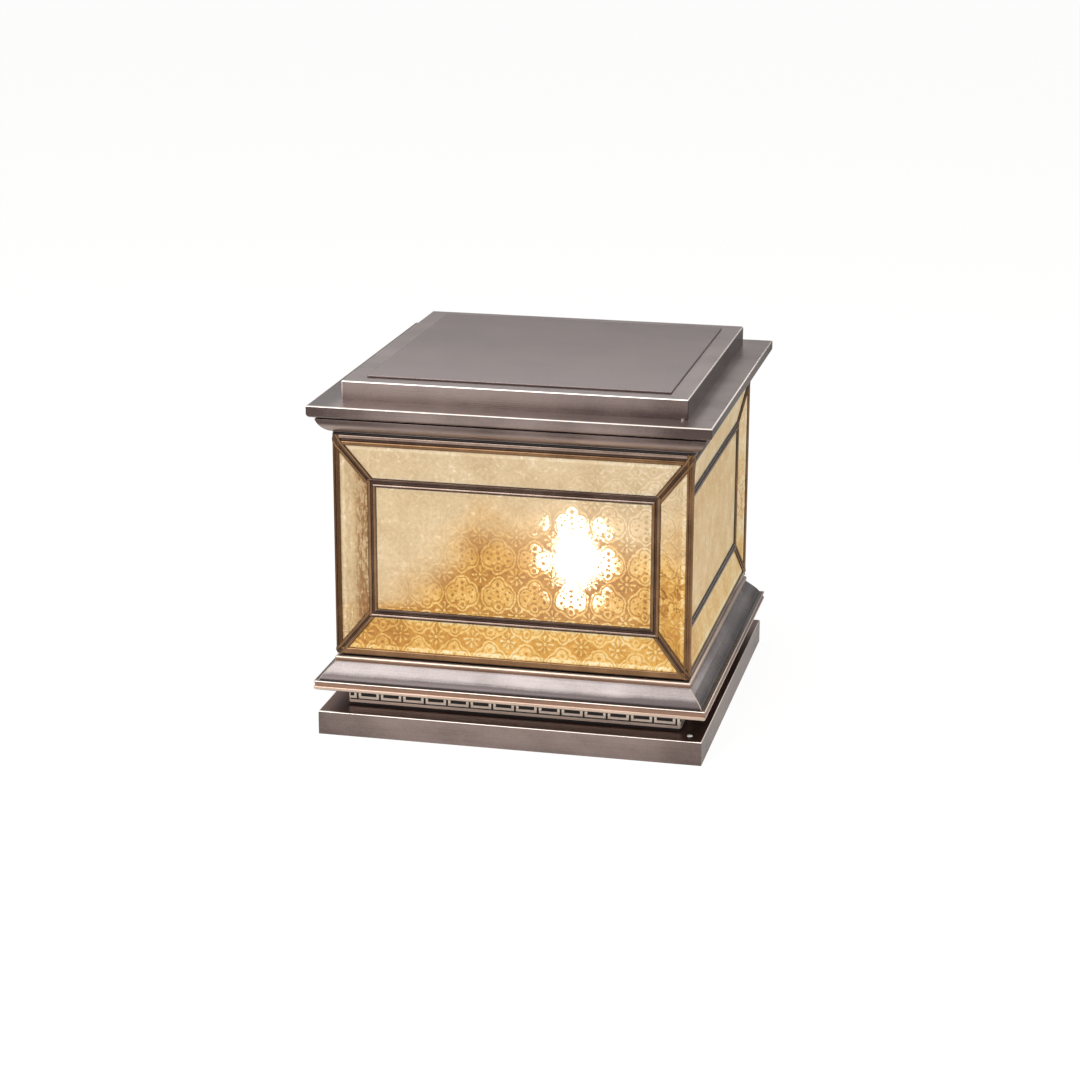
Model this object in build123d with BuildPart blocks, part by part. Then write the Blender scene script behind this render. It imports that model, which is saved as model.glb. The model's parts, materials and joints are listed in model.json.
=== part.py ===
"""Square solar pillar light: a stepped bronze plinth, a leaded-glass lantern and a lift-off solar roof.

The origin is the centre of the underside, +Z is up and the front faces -Y. All sizes are in millimetres.
"""
from build123d import *
import os

os.makedirs("parts", exist_ok=True)

# Plan of the lantern, which the tiers above and below step out from
lantern_width = 270.0
lantern_height = 170.5

# Plinth: ogee moulding under the lantern, recessed key frieze and base tray
fillet_margin = 0.5
fillet_height = 4.0
ogee_reach = 10.3
ogee_height = 12.9
hollow_reach = 3.7
hollow_drop = 3.0
hollow_sag = 0.4
nose_sag = 1.0
ledge_depth = 3.4
lip_height = 5.6
lip_edge = 0.7
lip_groove_level = 3.3
lip_groove_depth = 1.1
moulding_sheet = 2.5
frieze_set = 7.7
frieze_height = 19.0
frieze_sheet = 2.0
flange_lap = 7.0
base_set = 2.7
base_height = 18.5
base_sheet = 2.0
fixing_inset = 10.5
fixing_hole = 5.6

# Raised key pattern on the frieze
key_count = 14
key_relief = 0.8
key_line = 1.9
key_gap = 1.6
key_height = 11.0
key_hook_drop = 3.6
key_foot = 2.1
key_strip = 2.2
key_rise = 1.0
key_start = 5.1
key_end = 1.9
key_end_gap = 1.5

# Floor of the lantern and the rods that clamp the plinth together
floor_set = 4.0
floor_sheet = 1.5
stud_inset = 30.0
stud_diameter = 6.0
stud_end = 2.0
nut_flats = 10.0
nut_height = 5.0
screw_clearance = 0.1

# Leaded sides of the lantern
post_size = 5.0
post_foot_chamfer = 3.0
bottom_rail_height = 5.0
top_rail_height = 8.4
came_depth = 4.9
mitre_depth = 4.0
came_width = 6.8
came_groove = 1.3
came_groove_depth = 1.2
border_width = 19.6
bottom_border_height = 23.9
top_border_height = 25.3
recess = 4.5
glass_thickness = 3.0
glass_set = 1.5
gasket_height = 1.0
gasket_width = 3.5
gasket_set = 0.4

# Roof: crown moulding, slab and raised solar housing
roof_clearance = 0.3
crown_foot_set = 0.35
crown_foot_height = 1.0
crown_soffit = 1.35
crown_reach = 9.2
crown_height = 10.9
crown_sag = 1.6
crown_neck = 1.4
crown_neck_set = 2.4
crown_lap = 10.0
slab_overhang = 4.8
slab_thickness = 9.4
slab_sheet = 2.0
slab_round = 3.5
housing_set = 21.0
housing_height = 15.0
housing_sheet = 1.5
housing_screw_inset = 3.7
housing_screw_head = 2.6
housing_screw_height = 1.2
lug_length = 40.0
lug_sheet = 2.0
lug_drop = 6.0
lug_clearance = 0.7

# Solar panel in the top of the housing
cover_set = 15.2
cover_thickness = 1.5
window_lap = 4.0
cell_rows = 6
cell_gap = 1.5
cell_thickness = 0.6
backsheet_lap = 4.0
backsheet_thickness = 1.2
junction_length = 60.0
junction_width = 40.0
junction_height = 8.0

# Lamp on the lantern floor
lamp_x = 24.0
lamp_y = -20.0
holder_diameter = 36.0
holder_height = 25.5
holder_floor = 3.0
holder_flange = 54.0
holder_flange_thickness = 3.5
holder_screw_spacing = 45.0
holder_screw = 3.0
holder_screw_head = 5.6
holder_screw_head_height = 2.2
holder_screw_end = 3.0
contact_diameter = 12.0
contact_sheet = 0.8
bulb_clearance = 0.3
tip_diameter = 10.0
tip_height = 2.4
cap_diameter = 26.0
cap_core = 24.4
cap_height = 20.0
cap_bore_clearance = 0.6
thread_pitch = 3.6
thread_ridge = 1.8
thread_count = 4
skirt_height = 10.0
skirt_foot = 27.0
globe_radius = 22.5
globe_neck = 33.0
globe_wall = 1.2

# Battery box under the roof, with a hinged door
battery_x = -58.0
battery_y = 30.0
cell_diameter = 18.2
cell_length = 65.0
cell_spacing = 19.2
cell_cap_diameter = 5.5
cell_cap_height = 1.0
box_wall = 2.0
box_clearance = 0.4
contact_width = 14.0
contact_height = 12.0
spring_length = 4.0
spring_diameter = 6.0
door_gap = 0.3
door_thickness = 2.0
door_lip = 4.0
knuckle_diameter = 5.0
knuckle_gap = 0.3
knuckle_count = 5
pin_diameter = 2.0
pin_clearance = 0.05
hinge_length = 50.0

# Charge controller under the roof, with its push button
controller_x = 58.0
controller_y = 30.0
case_length = 70.0
case_width = 50.0
case_height = 18.0
case_wall = 2.0
boss_diameter = 6.0
boss_inset = 6.0
board_clearance = 1.0
board_thickness = 1.6
switch_size = 12.0
switch_height = 5.0
chip_length = 14.0
chip_width = 9.0
chip_height = 2.5
capacitor_diameter = 8.0
capacitor_length = 4.0
part_offset = 18.0
button_diameter = 9.0
button_stand = 3.0
button_flange = 13.0
button_flange_thickness = 1.5
button_clearance = 0.3
button_travel = 2.0

# Half widths of the tiers
lantern_half = lantern_width / 2
fillet_half = lantern_half + fillet_margin
ledge_half = fillet_half + ogee_reach
lip_half = ledge_half + ledge_depth
frieze_half = fillet_half - frieze_set
liner_half = frieze_half - key_relief
flange_half = liner_half - frieze_sheet - flange_lap
base_half = lip_half - base_set
fixing_reach = base_half - fixing_inset
floor_half = lantern_half - floor_set
stud_pitch = 2 * (lantern_half - stud_inset)
crown_foot_half = lantern_half - crown_foot_set
crown_start_half = crown_foot_half + crown_soffit
crown_top_half = crown_start_half + crown_reach
slab_half = crown_top_half + slab_overhang
crown_back_half = crown_foot_half - moulding_sheet - crown_lap
housing_half = slab_half - housing_set
cover_half = housing_half - cover_set
window_half = cover_half - window_lap
backsheet_half = window_half + backsheet_lap

# Levels, from the ground up
base_top = base_height
lip_bottom = base_top + frieze_height
ledge_level = lip_bottom + lip_height
fillet_level = ledge_level + ogee_height
plinth_top = fillet_level + fillet_height
lantern_bottom = plinth_top + floor_sheet
lantern_top = lantern_bottom + lantern_height
gasket_top = lantern_top + gasket_height
crown_bottom = gasket_top + roof_clearance
crown_start = crown_bottom + crown_foot_height
crown_top = crown_start + crown_height
slab_bottom = crown_top + crown_neck
slab_top = slab_bottom + slab_thickness
roof_ceiling = slab_top - slab_sheet
housing_top = slab_top + housing_height
cover_top = housing_top + cover_thickness

STAND = (Align.CENTER, Align.CENTER, Align.MIN)
HANG = (Align.CENTER, Align.CENTER, Align.MAX)
TURNS = {"front": 0, "right": 90, "back": 180, "left": 270}
UP = Vector(0, 0, 1)


def save(shape, label):
    """Label one finished piece and write it as its own file."""
    shape.label = label
    export_step(shape, f"parts/{label}.step")


def outward(turn):
    """Direction out of one side of the square plan."""
    return Vector(0, -1, 0).rotate(Axis.Z, turn)


def face_plane(turn, distance):
    """Plane of one side: x runs to the viewer's right, y is up and z points outward."""
    out = outward(turn)
    return Plane(origin=out * distance, x_dir=UP.cross(out), z_dir=out)


def run_plane(turn):
    """Plane across the run of one side: x is the distance from the centre and y is the height."""
    out = outward(turn)
    return Plane(origin=(0, 0, 0), x_dir=out, z_dir=out.cross(UP))


def mitred_ring(section, label):
    """Four lengths of one section around the square, meeting face to face on the mitres."""
    lengths = []
    for turn in TURNS.values():
        out = outward(turn) * slab_half
        along = UP.cross(out)
        ends = [(0, 0), tuple(out + along)[:2], tuple(out - along)[:2]]
        with BuildPart() as length:
            with BuildSketch(run_plane(turn)):
                add(section.sketch)
            extrude(amount=slab_half, both=True)
            with BuildSketch():
                Polygon(*ends, align=None)
            extrude(amount=cover_top, mode=Mode.INTERSECT)
        lengths.append(length.part)
    save(Compound(children=lengths), label)


# Base tray: an open-bottomed sheet box with a fixing hole in two opposite corners
with BuildPart() as base_tray:
    Box(2 * base_half, 2 * base_half, base_height, align=STAND)
    inside = 2 * (base_half - base_sheet)
    Box(inside, inside, base_height - base_sheet, align=STAND, mode=Mode.SUBTRACT)
    with Locations((0, 0, base_top)):
        with Locations((fixing_reach, -fixing_reach), (-fixing_reach, fixing_reach)):
            Hole(fixing_hole / 2)
        with GridLocations(stud_pitch, stud_pitch, 2, 2):
            Hole(stud_diameter / 2 + screw_clearance)
save(base_tray.part, "base_tray")

# Frieze box: the dark square tube that carries the moulding
with BuildSketch() as frieze_section:
    with Locations((liner_half - frieze_sheet, base_top)):
        Rectangle(frieze_sheet, plinth_top - moulding_sheet - base_top, align=(Align.MIN, Align.MIN))
mitred_ring(frieze_section, "frieze_box")

# Key frieze: raised border strips and a row of squared hooks on each side, cut short at its left end
key_field = 2 * liner_half
key_pitch = (key_field - key_start - key_end_gap - key_end) / key_count
key_width = key_pitch - key_gap
key_row = (key_start - key_end_gap - key_end + key_gap) / 2
key_bottom = base_top + key_foot + key_strip + key_rise
key_frame_height = frieze_height - key_foot
CORNER = (Align.MIN, Align.MIN)
key_sides = []
for turn in TURNS.values():
    with BuildPart() as key_side:
        with BuildSketch(face_plane(turn, liner_half)):
            with Locations((-liner_half, base_top + key_foot)):
                Rectangle(key_field, key_frame_height, align=CORNER)
            with Locations((-liner_half, base_top + key_foot + key_strip)):
                inner_height = key_frame_height - key_strip - key_line
                Rectangle(key_field - key_end, inner_height, align=CORNER, mode=Mode.SUBTRACT)
            with Locations((key_row, key_bottom + key_height / 2)):
                with GridLocations(key_pitch, key_pitch, key_count, 1):
                    Rectangle(key_width, key_height)
                    Rectangle(key_width - 2 * key_line, key_height - 2 * key_line, mode=Mode.SUBTRACT)
                    with Locations((-key_width / 4, key_height / 2)):
                        Rectangle(key_line, key_hook_drop, align=(Align.CENTER, Align.MAX))
            with Locations((-liner_half, key_bottom)):
                Rectangle(key_start, key_height, align=CORNER)
            with Locations((-liner_half, key_bottom + key_line)):
                inner_height = key_height - 2 * key_line
                Rectangle(key_start - key_line, inner_height, align=CORNER, mode=Mode.SUBTRACT)
        extrude(amount=key_relief)
    key_sides.append(key_side.part)
save(Compound(children=key_sides), "frieze_key")

# Plinth moulding: a hollow sheet ogee with a grooved lip below and a flat flange on top
with BuildSketch() as plinth_section:
    with BuildLine():
        hollow_foot = (fillet_half + hollow_reach, fillet_level - hollow_drop)
        Polyline(
            (flange_half, lip_bottom),
            (flange_half, plinth_top),
            (fillet_half, plinth_top),
            (fillet_half, fillet_level),
        )
        SagittaArc((fillet_half, fillet_level), hollow_foot, -hollow_sag)
        SagittaArc(hollow_foot, (ledge_half, ledge_level), nose_sag)
        Polyline(
            (ledge_half, ledge_level),
            (lip_half, ledge_level),
            (lip_half - lip_groove_depth, lip_bottom + lip_groove_level),
            (lip_half, lip_bottom + lip_edge),
            (lip_half, lip_bottom),
            (flange_half, lip_bottom),
        )
    make_face()
    add(plinth_section.sketch.moved(Location((-moulding_sheet, -moulding_sheet, 0))), mode=Mode.SUBTRACT)
mitred_ring(plinth_section, "plinth_moulding")

# Floor plate between the plinth and the lantern
with BuildPart() as floor_plate:
    with Locations((0, 0, plinth_top)):
        Box(2 * floor_half, 2 * floor_half, floor_sheet, align=STAND)
    with Locations((0, 0, lantern_bottom)):
        with GridLocations(stud_pitch, stud_pitch, 2, 2):
            Hole(stud_diameter / 2 + screw_clearance)
    with Locations((lamp_x, lamp_y, lantern_bottom)):
        with GridLocations(holder_screw_spacing, holder_screw_spacing, 2, 1):
            Hole(holder_screw / 2 + screw_clearance)
save(floor_plate.part, "floor_plate")

# Tie studs and their nuts clamp tray, frieze, moulding and floor together
stud_bottom = base_top - base_sheet - nut_height - stud_end
stud_top = lantern_bottom + nut_height + stud_end
with BuildPart() as tie_studs:
    with Locations((0, 0, stud_bottom)):
        with GridLocations(stud_pitch, stud_pitch, 2, 2):
            Cylinder(stud_diameter / 2, stud_top - stud_bottom, align=STAND)
save(tie_studs.part, "tie_studs")

with BuildPart() as tie_nuts:
    for seat in (base_top - base_sheet - nut_height, lantern_bottom):
        with BuildSketch(Plane.XY.offset(seat)):
            with GridLocations(stud_pitch, stud_pitch, 2, 2):
                RegularPolygon(nut_flats / 2, 6, major_radius=False)
                Circle(stud_diameter / 2 + screw_clearance, mode=Mode.SUBTRACT)
        extrude(amount=nut_height)
save(tie_nuts.part, "tie_nuts")

# Corner posts with a groove down each outer face and a chamfered foot
post_axis = lantern_half - post_size / 2
for corner, (x_side, y_side) in {
    "front_left": (-1, -1),
    "front_right": (1, -1),
    "back_right": (1, 1),
    "back_left": (-1, 1),
}.items():
    with BuildPart() as post:
        with Locations((x_side * post_axis, y_side * post_axis, lantern_bottom)):
            Box(post_size, post_size, lantern_height, align=STAND)
        foot_edges = post.edges().group_by(Axis.Z)[0]
        chamfer(foot_edges.sort_by_distance((0, 0, lantern_bottom))[-2:], post_foot_chamfer)
        with Locations((x_side * lantern_half, y_side * post_axis, lantern_bottom)):
            Box(2 * came_groove_depth, came_groove, lantern_height, align=STAND, mode=Mode.SUBTRACT)
        with Locations((x_side * post_axis, y_side * lantern_half, lantern_bottom)):
            Box(came_groove, 2 * came_groove_depth, lantern_height, align=STAND, mode=Mode.SUBTRACT)
    save(post.part, f"{corner}_post")


def rectangle_corners(half, low, high):
    """Corners of an upright rectangle on a side, from the lower left round to the upper left."""
    return [(-half, low), (half, low), (half, high), (-half, high)]


def trapezoid(outside, inside, index):
    """Corners of one side of the band between two rectangles."""
    following = (index + 1) % len(outside)
    return [outside[index], outside[following], inside[following], inside[index]]


def sloped_plane(side, edge, across, depth):
    """Plane through an edge and a point across from it that lies deeper by the recess."""
    start = side.from_local_coords(Vector(edge[0][0], edge[0][1], -depth))
    end = side.from_local_coords(Vector(edge[1][0], edge[1][1], -depth))
    inner = side.from_local_coords(Vector(across[0], across[1], -depth - recess))
    normal = (end - start).cross(inner - start)
    if normal.dot(side.z_dir) < 0:
        normal = normal * -1
    return Plane(origin=start, x_dir=end - start, z_dir=normal)


def strip_corners(start, end, width):
    """Outline of a straight strip along a line, run on past both ends."""
    along = Vector(end[0] - start[0], end[1] - start[1])
    across = along.normalized().rotate(Axis.Z, 90) * (width / 2)
    first = Vector(start[0], start[1]) - along
    last = Vector(end[0], end[1]) + along
    return [tuple(point)[:2] for point in (first - across, last - across, last + across, first + across)]


# Leaded side: rails, an inner frame set back behind the face, and mitre bars that slope in to it
field_half = lantern_half - post_size
field_low = lantern_bottom + bottom_rail_height
field_high = lantern_top - top_rail_height
frame_half = field_half - border_width
frame_low = field_low + bottom_border_height
frame_high = field_high - top_border_height
field = rectangle_corners(field_half, field_low, field_high)
frame_outside = rectangle_corners(frame_half, frame_low, frame_high)
frame_inside = rectangle_corners(frame_half - came_width, frame_low + came_width, frame_high - came_width)
groove_in = (came_width + came_groove) / 2
groove_out = (came_width - came_groove) / 2
groove_outside = rectangle_corners(frame_half - groove_out, frame_low + groove_out, frame_high - groove_out)
groove_inside = rectangle_corners(frame_half - groove_in, frame_low + groove_in, frame_high - groove_in)
side_depth = glass_set + recess + came_depth + glass_thickness


def rail(side, low, height):
    """Straight rail between two posts, grooved along its face."""
    with BuildPart() as bar:
        with BuildSketch(side):
            with Locations((0, low + height / 2)):
                Rectangle(2 * field_half, height)
        extrude(amount=-came_depth)
        with BuildSketch(side):
            with Locations((0, low + height / 2)):
                Rectangle(2 * field_half, came_groove)
        extrude(amount=-came_groove_depth, mode=Mode.SUBTRACT)
    return bar.part


def frame_bar(side, index):
    """One mitred bar of the inner frame, grooved along its face."""
    face = side.offset(-recess)
    with BuildPart() as bar:
        with BuildSketch(face):
            Polygon(*trapezoid(frame_outside, frame_inside, index), align=None)
        extrude(amount=-came_depth)
        with BuildSketch(face):
            Polygon(*trapezoid(groove_outside, groove_inside, index), align=None)
        extrude(amount=-came_groove_depth, mode=Mode.SUBTRACT)
    return bar.part


def mitre_strip(side, index, width, front_depth, back_depth):
    """Strip from a corner of the field to the inner frame, between two parallel sloping planes."""
    outer = field[index]
    inner = frame_outside[index]
    across = (outer[0] + outer[1] - inner[1], outer[1] - outer[0] + inner[0])
    with BuildPart() as strip:
        with BuildSketch(side):
            Polygon(*strip_corners(outer, inner, width), align=None)
            Polygon(*field, align=None, mode=Mode.INTERSECT)
            Polygon(*frame_outside, align=None, mode=Mode.SUBTRACT)
        extrude(amount=-side_depth)
        split(bisect_by=sloped_plane(side, (outer, across), inner, front_depth), keep=Keep.BOTTOM)
        split(bisect_by=sloped_plane(side, (outer, across), inner, back_depth), keep=Keep.TOP)
    return strip.part


def mitre_bar(side, index):
    """Sloping mitre bar with a groove along its face."""
    groove = mitre_strip(side, index, came_groove, 0, came_groove_depth)
    with BuildPart() as bar:
        add(mitre_strip(side, index, came_width, 0, mitre_depth))
        add(groove, mode=Mode.SUBTRACT)
    return bar.part


def border_pane(side, index):
    """Sloping glass between a side of the field and the inner frame."""
    following = (index + 1) % len(field)
    edge = (field[index], field[following])
    with BuildPart() as pane:
        with BuildSketch(side):
            Polygon(*trapezoid(field, frame_outside, index), align=None)
            for end in (index, following):
                mitre = strip_corners(field[end], frame_outside[end], came_width)
                Polygon(*mitre, align=None, mode=Mode.SUBTRACT)
        extrude(amount=-side_depth)
        split(bisect_by=sloped_plane(side, edge, frame_outside[index], glass_set), keep=Keep.BOTTOM)
        split(
            bisect_by=sloped_plane(side, edge, frame_outside[index], glass_set + glass_thickness),
            keep=Keep.TOP,
        )
    return pane.part


for name, turn in TURNS.items():
    side = face_plane(turn, lantern_half)
    bars = [rail(side, lantern_bottom, bottom_rail_height), rail(side, field_high, top_rail_height)]
    bars += [frame_bar(side, index) for index in range(4)]
    bars += [mitre_bar(side, index) for index in range(4)]
    save(Compound(children=bars), f"{name}_came")
    for index, place in enumerate(("bottom", "right", "top", "left")):
        save(border_pane(side, index), f"{name}_{place}_pane")
    with BuildPart() as centre_pane:
        with BuildSketch(side.offset(-recess - glass_set)):
            Polygon(*frame_inside, align=None)
        extrude(amount=-glass_thickness)
    save(centre_pane.part, f"{name}_centre_pane")

# Roof gasket on the top rails
with BuildSketch() as gasket_section:
    with Locations((lantern_half - gasket_set, lantern_top)):
        Rectangle(gasket_width, gasket_height, align=(Align.MAX, Align.MIN))
mitred_ring(gasket_section, "roof_gasket")

# Lamp holder, its spring contact and its two screws
socket_floor = lantern_bottom + holder_floor
with BuildPart() as lamp_holder:
    with Locations((lamp_x, lamp_y, lantern_bottom)):
        Cylinder(holder_flange / 2, holder_flange_thickness, align=STAND)
        Cylinder(holder_diameter / 2, holder_height, align=STAND)
        with GridLocations(holder_screw_spacing, holder_screw_spacing, 2, 1):
            Cylinder(
                holder_screw / 2 + screw_clearance,
                holder_flange_thickness,
                align=STAND,
                mode=Mode.SUBTRACT,
            )
    with Locations((lamp_x, lamp_y, socket_floor)):
        Cylinder(cap_diameter / 2 + cap_bore_clearance, holder_height, align=STAND, mode=Mode.SUBTRACT)
save(lamp_holder.part, "lamp_holder")

with BuildPart() as holder_contact:
    with Locations((lamp_x, lamp_y, socket_floor)):
        Cylinder(contact_diameter / 2, contact_sheet, align=STAND)
save(holder_contact.part, "holder_contact")

flange_top = lantern_bottom + holder_flange_thickness
with BuildPart() as holder_screws:
    with Locations((lamp_x, lamp_y, flange_top)):
        with GridLocations(holder_screw_spacing, holder_screw_spacing, 2, 1):
            Cylinder(holder_screw_head / 2, holder_screw_head_height, align=STAND)
            shank = holder_flange_thickness + floor_sheet + holder_screw_end
            Cylinder(holder_screw / 2, shank, align=HANG)
save(holder_screws.part, "holder_screws")

# Screw-in lamp: centre contact, threaded cap, skirt and globe
tip_bottom = socket_floor + contact_sheet + bulb_clearance
cap_bottom = tip_bottom + tip_height
cap_top = cap_bottom + cap_height
neck_level = cap_top + skirt_height
globe_drop = (globe_radius**2 - (globe_neck / 2) ** 2) ** 0.5
with BuildPart() as bulb_contact:
    with Locations((lamp_x, lamp_y, tip_bottom)):
        Cylinder(tip_diameter / 2, tip_height, align=STAND)
save(bulb_contact.part, "bulb_contact")

with BuildPart() as bulb_cap:
    with Locations((lamp_x, lamp_y, cap_bottom)):
        Cylinder(cap_core / 2, cap_height, align=STAND)
    for ridge in range(thread_count):
        with Locations((lamp_x, lamp_y, cap_bottom + thread_pitch * (ridge + 0.5))):
            Cylinder(cap_diameter / 2, thread_ridge, align=STAND)
save(bulb_cap.part, "bulb_cap")

with BuildPart() as bulb_skirt:
    with Locations((lamp_x, lamp_y, cap_top)):
        Cone(skirt_foot / 2, globe_neck / 2, skirt_height, align=STAND)
save(bulb_skirt.part, "bulb_skirt")

with BuildPart() as bulb_globe:
    with Locations((lamp_x, lamp_y, neck_level + globe_drop)):
        Sphere(globe_radius)
        Sphere(globe_radius - globe_wall, mode=Mode.SUBTRACT)
    split(bisect_by=Plane.XY.offset(neck_level), keep=Keep.TOP)
save(bulb_globe.part, "bulb_globe")

# Crown moulding: a sheet ovolo between the lantern and the slab, with a flange at its foot
with BuildSketch() as crown_section:
    with BuildLine():
        Polyline(
            (crown_back_half, slab_bottom),
            (crown_back_half, crown_bottom),
            (crown_foot_half, crown_bottom),
            (crown_foot_half, crown_start),
            (crown_start_half, crown_start),
        )
        SagittaArc((crown_start_half, crown_start), (crown_top_half, crown_top), -crown_sag)
        Polyline(
            (crown_top_half, crown_top),
            (crown_top_half - crown_neck_set, crown_top),
            (crown_top_half - crown_neck_set, slab_bottom),
            (crown_back_half, slab_bottom),
        )
    make_face()
    add(crown_section.sketch.moved(Location((-moulding_sheet, moulding_sheet, 0))), mode=Mode.SUBTRACT)
mitred_ring(crown_section, "crown_moulding")

# Locating lugs under the crown's flange, which drop inside the top rails
lug_face = lantern_half - came_depth - lug_clearance
lugs = []
for turn in TURNS.values():
    with BuildPart() as lug:
        with BuildSketch(face_plane(turn, lug_face)):
            with Locations((0, crown_bottom)):
                Rectangle(lug_length, lug_drop, align=(Align.CENTER, Align.MAX))
        extrude(amount=-lug_sheet)
    lugs.append(lug.part)
save(Compound(children=lugs), "roof_lugs")

# Roof slab: a folded sheet pan with a rounded lower edge
with BuildPart() as roof_slab:
    with Locations((0, 0, slab_bottom)):
        Box(2 * slab_half, 2 * slab_half, slab_thickness, align=STAND)
    fillet(roof_slab.faces().sort_by(Axis.Z)[0].edges(), slab_round)
    with Locations((0, 0, slab_bottom + slab_sheet)):
        pan = 2 * (slab_half - slab_sheet)
        Box(pan, pan, slab_thickness - 2 * slab_sheet, align=STAND, mode=Mode.SUBTRACT)
    with Locations((0, 0, slab_bottom)):
        Box(2 * crown_back_half, 2 * crown_back_half, slab_sheet, align=STAND, mode=Mode.SUBTRACT)
save(roof_slab.part, "roof_slab")

# Solar housing: a raised sheet box with a window for the panel
with BuildPart() as solar_housing:
    with Locations((0, 0, slab_top)):
        Box(2 * housing_half, 2 * housing_half, housing_height, align=STAND)
        hollow = 2 * (housing_half - housing_sheet)
        Box(hollow, hollow, housing_height - housing_sheet, align=STAND, mode=Mode.SUBTRACT)
        Box(2 * window_half, 2 * window_half, housing_height, align=STAND, mode=Mode.SUBTRACT)
save(solar_housing.part, "solar_housing")

# Two small screws on the slab at opposite corners of the housing's foot
with BuildPart() as housing_screws:
    screw_run = housing_half - housing_screw_inset
    screw_out = housing_half + housing_screw_head / 2
    with Locations((screw_run, -screw_out, slab_top), (-screw_run, screw_out, slab_top)):
        Cylinder(housing_screw_head / 2, housing_screw_height, align=STAND)
save(housing_screws.part, "housing_screws")

# Solar panel: cover sheet, wafers, backsheet and junction box
backsheet_top = housing_top - housing_sheet
with BuildPart() as panel_cover:
    with Locations((0, 0, housing_top)):
        Box(2 * cover_half, 2 * cover_half, cover_thickness, align=STAND)
save(panel_cover.part, "panel_cover")

cell_pitch = (2 * window_half - cell_gap) / cell_rows
with BuildPart() as cell_wafers:
    with Locations((0, 0, backsheet_top)):
        with GridLocations(cell_pitch, cell_pitch, cell_rows, cell_rows):
            Box(cell_pitch - cell_gap, cell_pitch - cell_gap, cell_thickness, align=STAND)
save(cell_wafers.part, "cell_wafers")

with BuildPart() as panel_backsheet:
    with Locations((0, 0, backsheet_top)):
        Box(2 * backsheet_half, 2 * backsheet_half, backsheet_thickness, align=HANG)
save(panel_backsheet.part, "panel_backsheet")

with BuildPart() as junction_box:
    with Locations((0, 0, backsheet_top - backsheet_thickness)):
        Box(junction_length, junction_width, junction_height, align=HANG)
save(junction_box.part, "junction_box")

# Battery box: open below, with hinge knuckles along its back wall
spring_space = spring_length + contact_sheet
cavity_length = cell_length + cell_cap_height + 2 * contact_sheet + spring_length
cavity_width = cell_spacing + cell_diameter + 2 * box_clearance
cavity_height = cell_diameter + box_clearance
box_length = cavity_length + 2 * box_wall
box_width = cavity_width + 2 * box_wall
box_bottom = roof_ceiling - box_wall - cavity_height
hinge_y = battery_y + (box_width + knuckle_diameter) / 2
hinge_z = box_bottom - door_gap / 2
knuckle_pitch = hinge_length / knuckle_count
knuckle_length = knuckle_pitch - knuckle_gap
knuckle_start = battery_x - (hinge_length - knuckle_pitch) / 2
knuckle_places = [knuckle_start + knuckle_pitch * step for step in range(knuckle_count)]


def knuckles(places, web_align):
    """Hinge barrels with webs that run back to the box or the door."""
    for place in places:
        with Locations((place, hinge_y, hinge_z)):
            Cylinder(knuckle_diameter / 2, knuckle_length, rotation=(0, 90, 0))
            Box(knuckle_length, knuckle_diameter / 2, knuckle_diameter / 2, align=web_align)


with BuildPart() as battery_box:
    with Locations((battery_x, battery_y, roof_ceiling)):
        Box(box_length, box_width, roof_ceiling - box_bottom, align=HANG)
    with Locations((battery_x, battery_y, box_bottom)):
        Box(cavity_length, cavity_width, cavity_height, align=STAND, mode=Mode.SUBTRACT)
    knuckles(knuckle_places[0::2], (Align.CENTER, Align.MAX, Align.MIN))
    with Locations((battery_x, hinge_y, hinge_z)):
        bore = pin_diameter / 2 + pin_clearance
        Cylinder(bore, hinge_length, rotation=(0, 90, 0), mode=Mode.SUBTRACT)
save(battery_box.part, "battery_box")

with BuildPart() as battery_door:
    with Locations((battery_x, battery_y + box_width / 2, box_bottom - door_gap)):
        Box(box_length, box_width + door_lip, door_thickness, align=(Align.CENTER, Align.MAX, Align.MAX))
    knuckles(knuckle_places[1::2], (Align.CENTER, Align.MAX, Align.MAX))
    with Locations((battery_x, hinge_y, hinge_z)):
        Cylinder(bore, hinge_length, rotation=(0, 90, 0), mode=Mode.SUBTRACT)
    for place in knuckle_places[0::2]:
        with Locations((place, battery_y + box_width / 2, box_bottom - door_gap)):
            Box(
                knuckle_pitch + knuckle_gap,
                knuckle_gap,
                door_thickness,
                align=(Align.CENTER, Align.MAX, Align.MAX),
                mode=Mode.SUBTRACT,
            )
save(battery_door.part, "battery_door")

with BuildPart() as hinge_pin:
    with Locations((battery_x, hinge_y, hinge_z)):
        Cylinder(pin_diameter / 2, hinge_length, rotation=(0, 90, 0))
save(hinge_pin.part, "hinge_pin")

# Two lithium cells between spring contacts
cell_axis = roof_ceiling - box_wall - cell_diameter / 2
cell_start = battery_x - cavity_length / 2 + contact_sheet + spring_length
with BuildPart() as battery_cells:
    for row in (-0.5, 0.5):
        with Locations((cell_start, battery_y + row * cell_spacing, cell_axis)):
            Cylinder(cell_diameter / 2, cell_length, rotation=(0, 90, 0), align=STAND)
            Cylinder(
                cell_cap_diameter / 2,
                cell_length + cell_cap_height,
                rotation=(0, 90, 0),
                align=STAND,
            )
save(battery_cells.part, "battery_cells")

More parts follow.
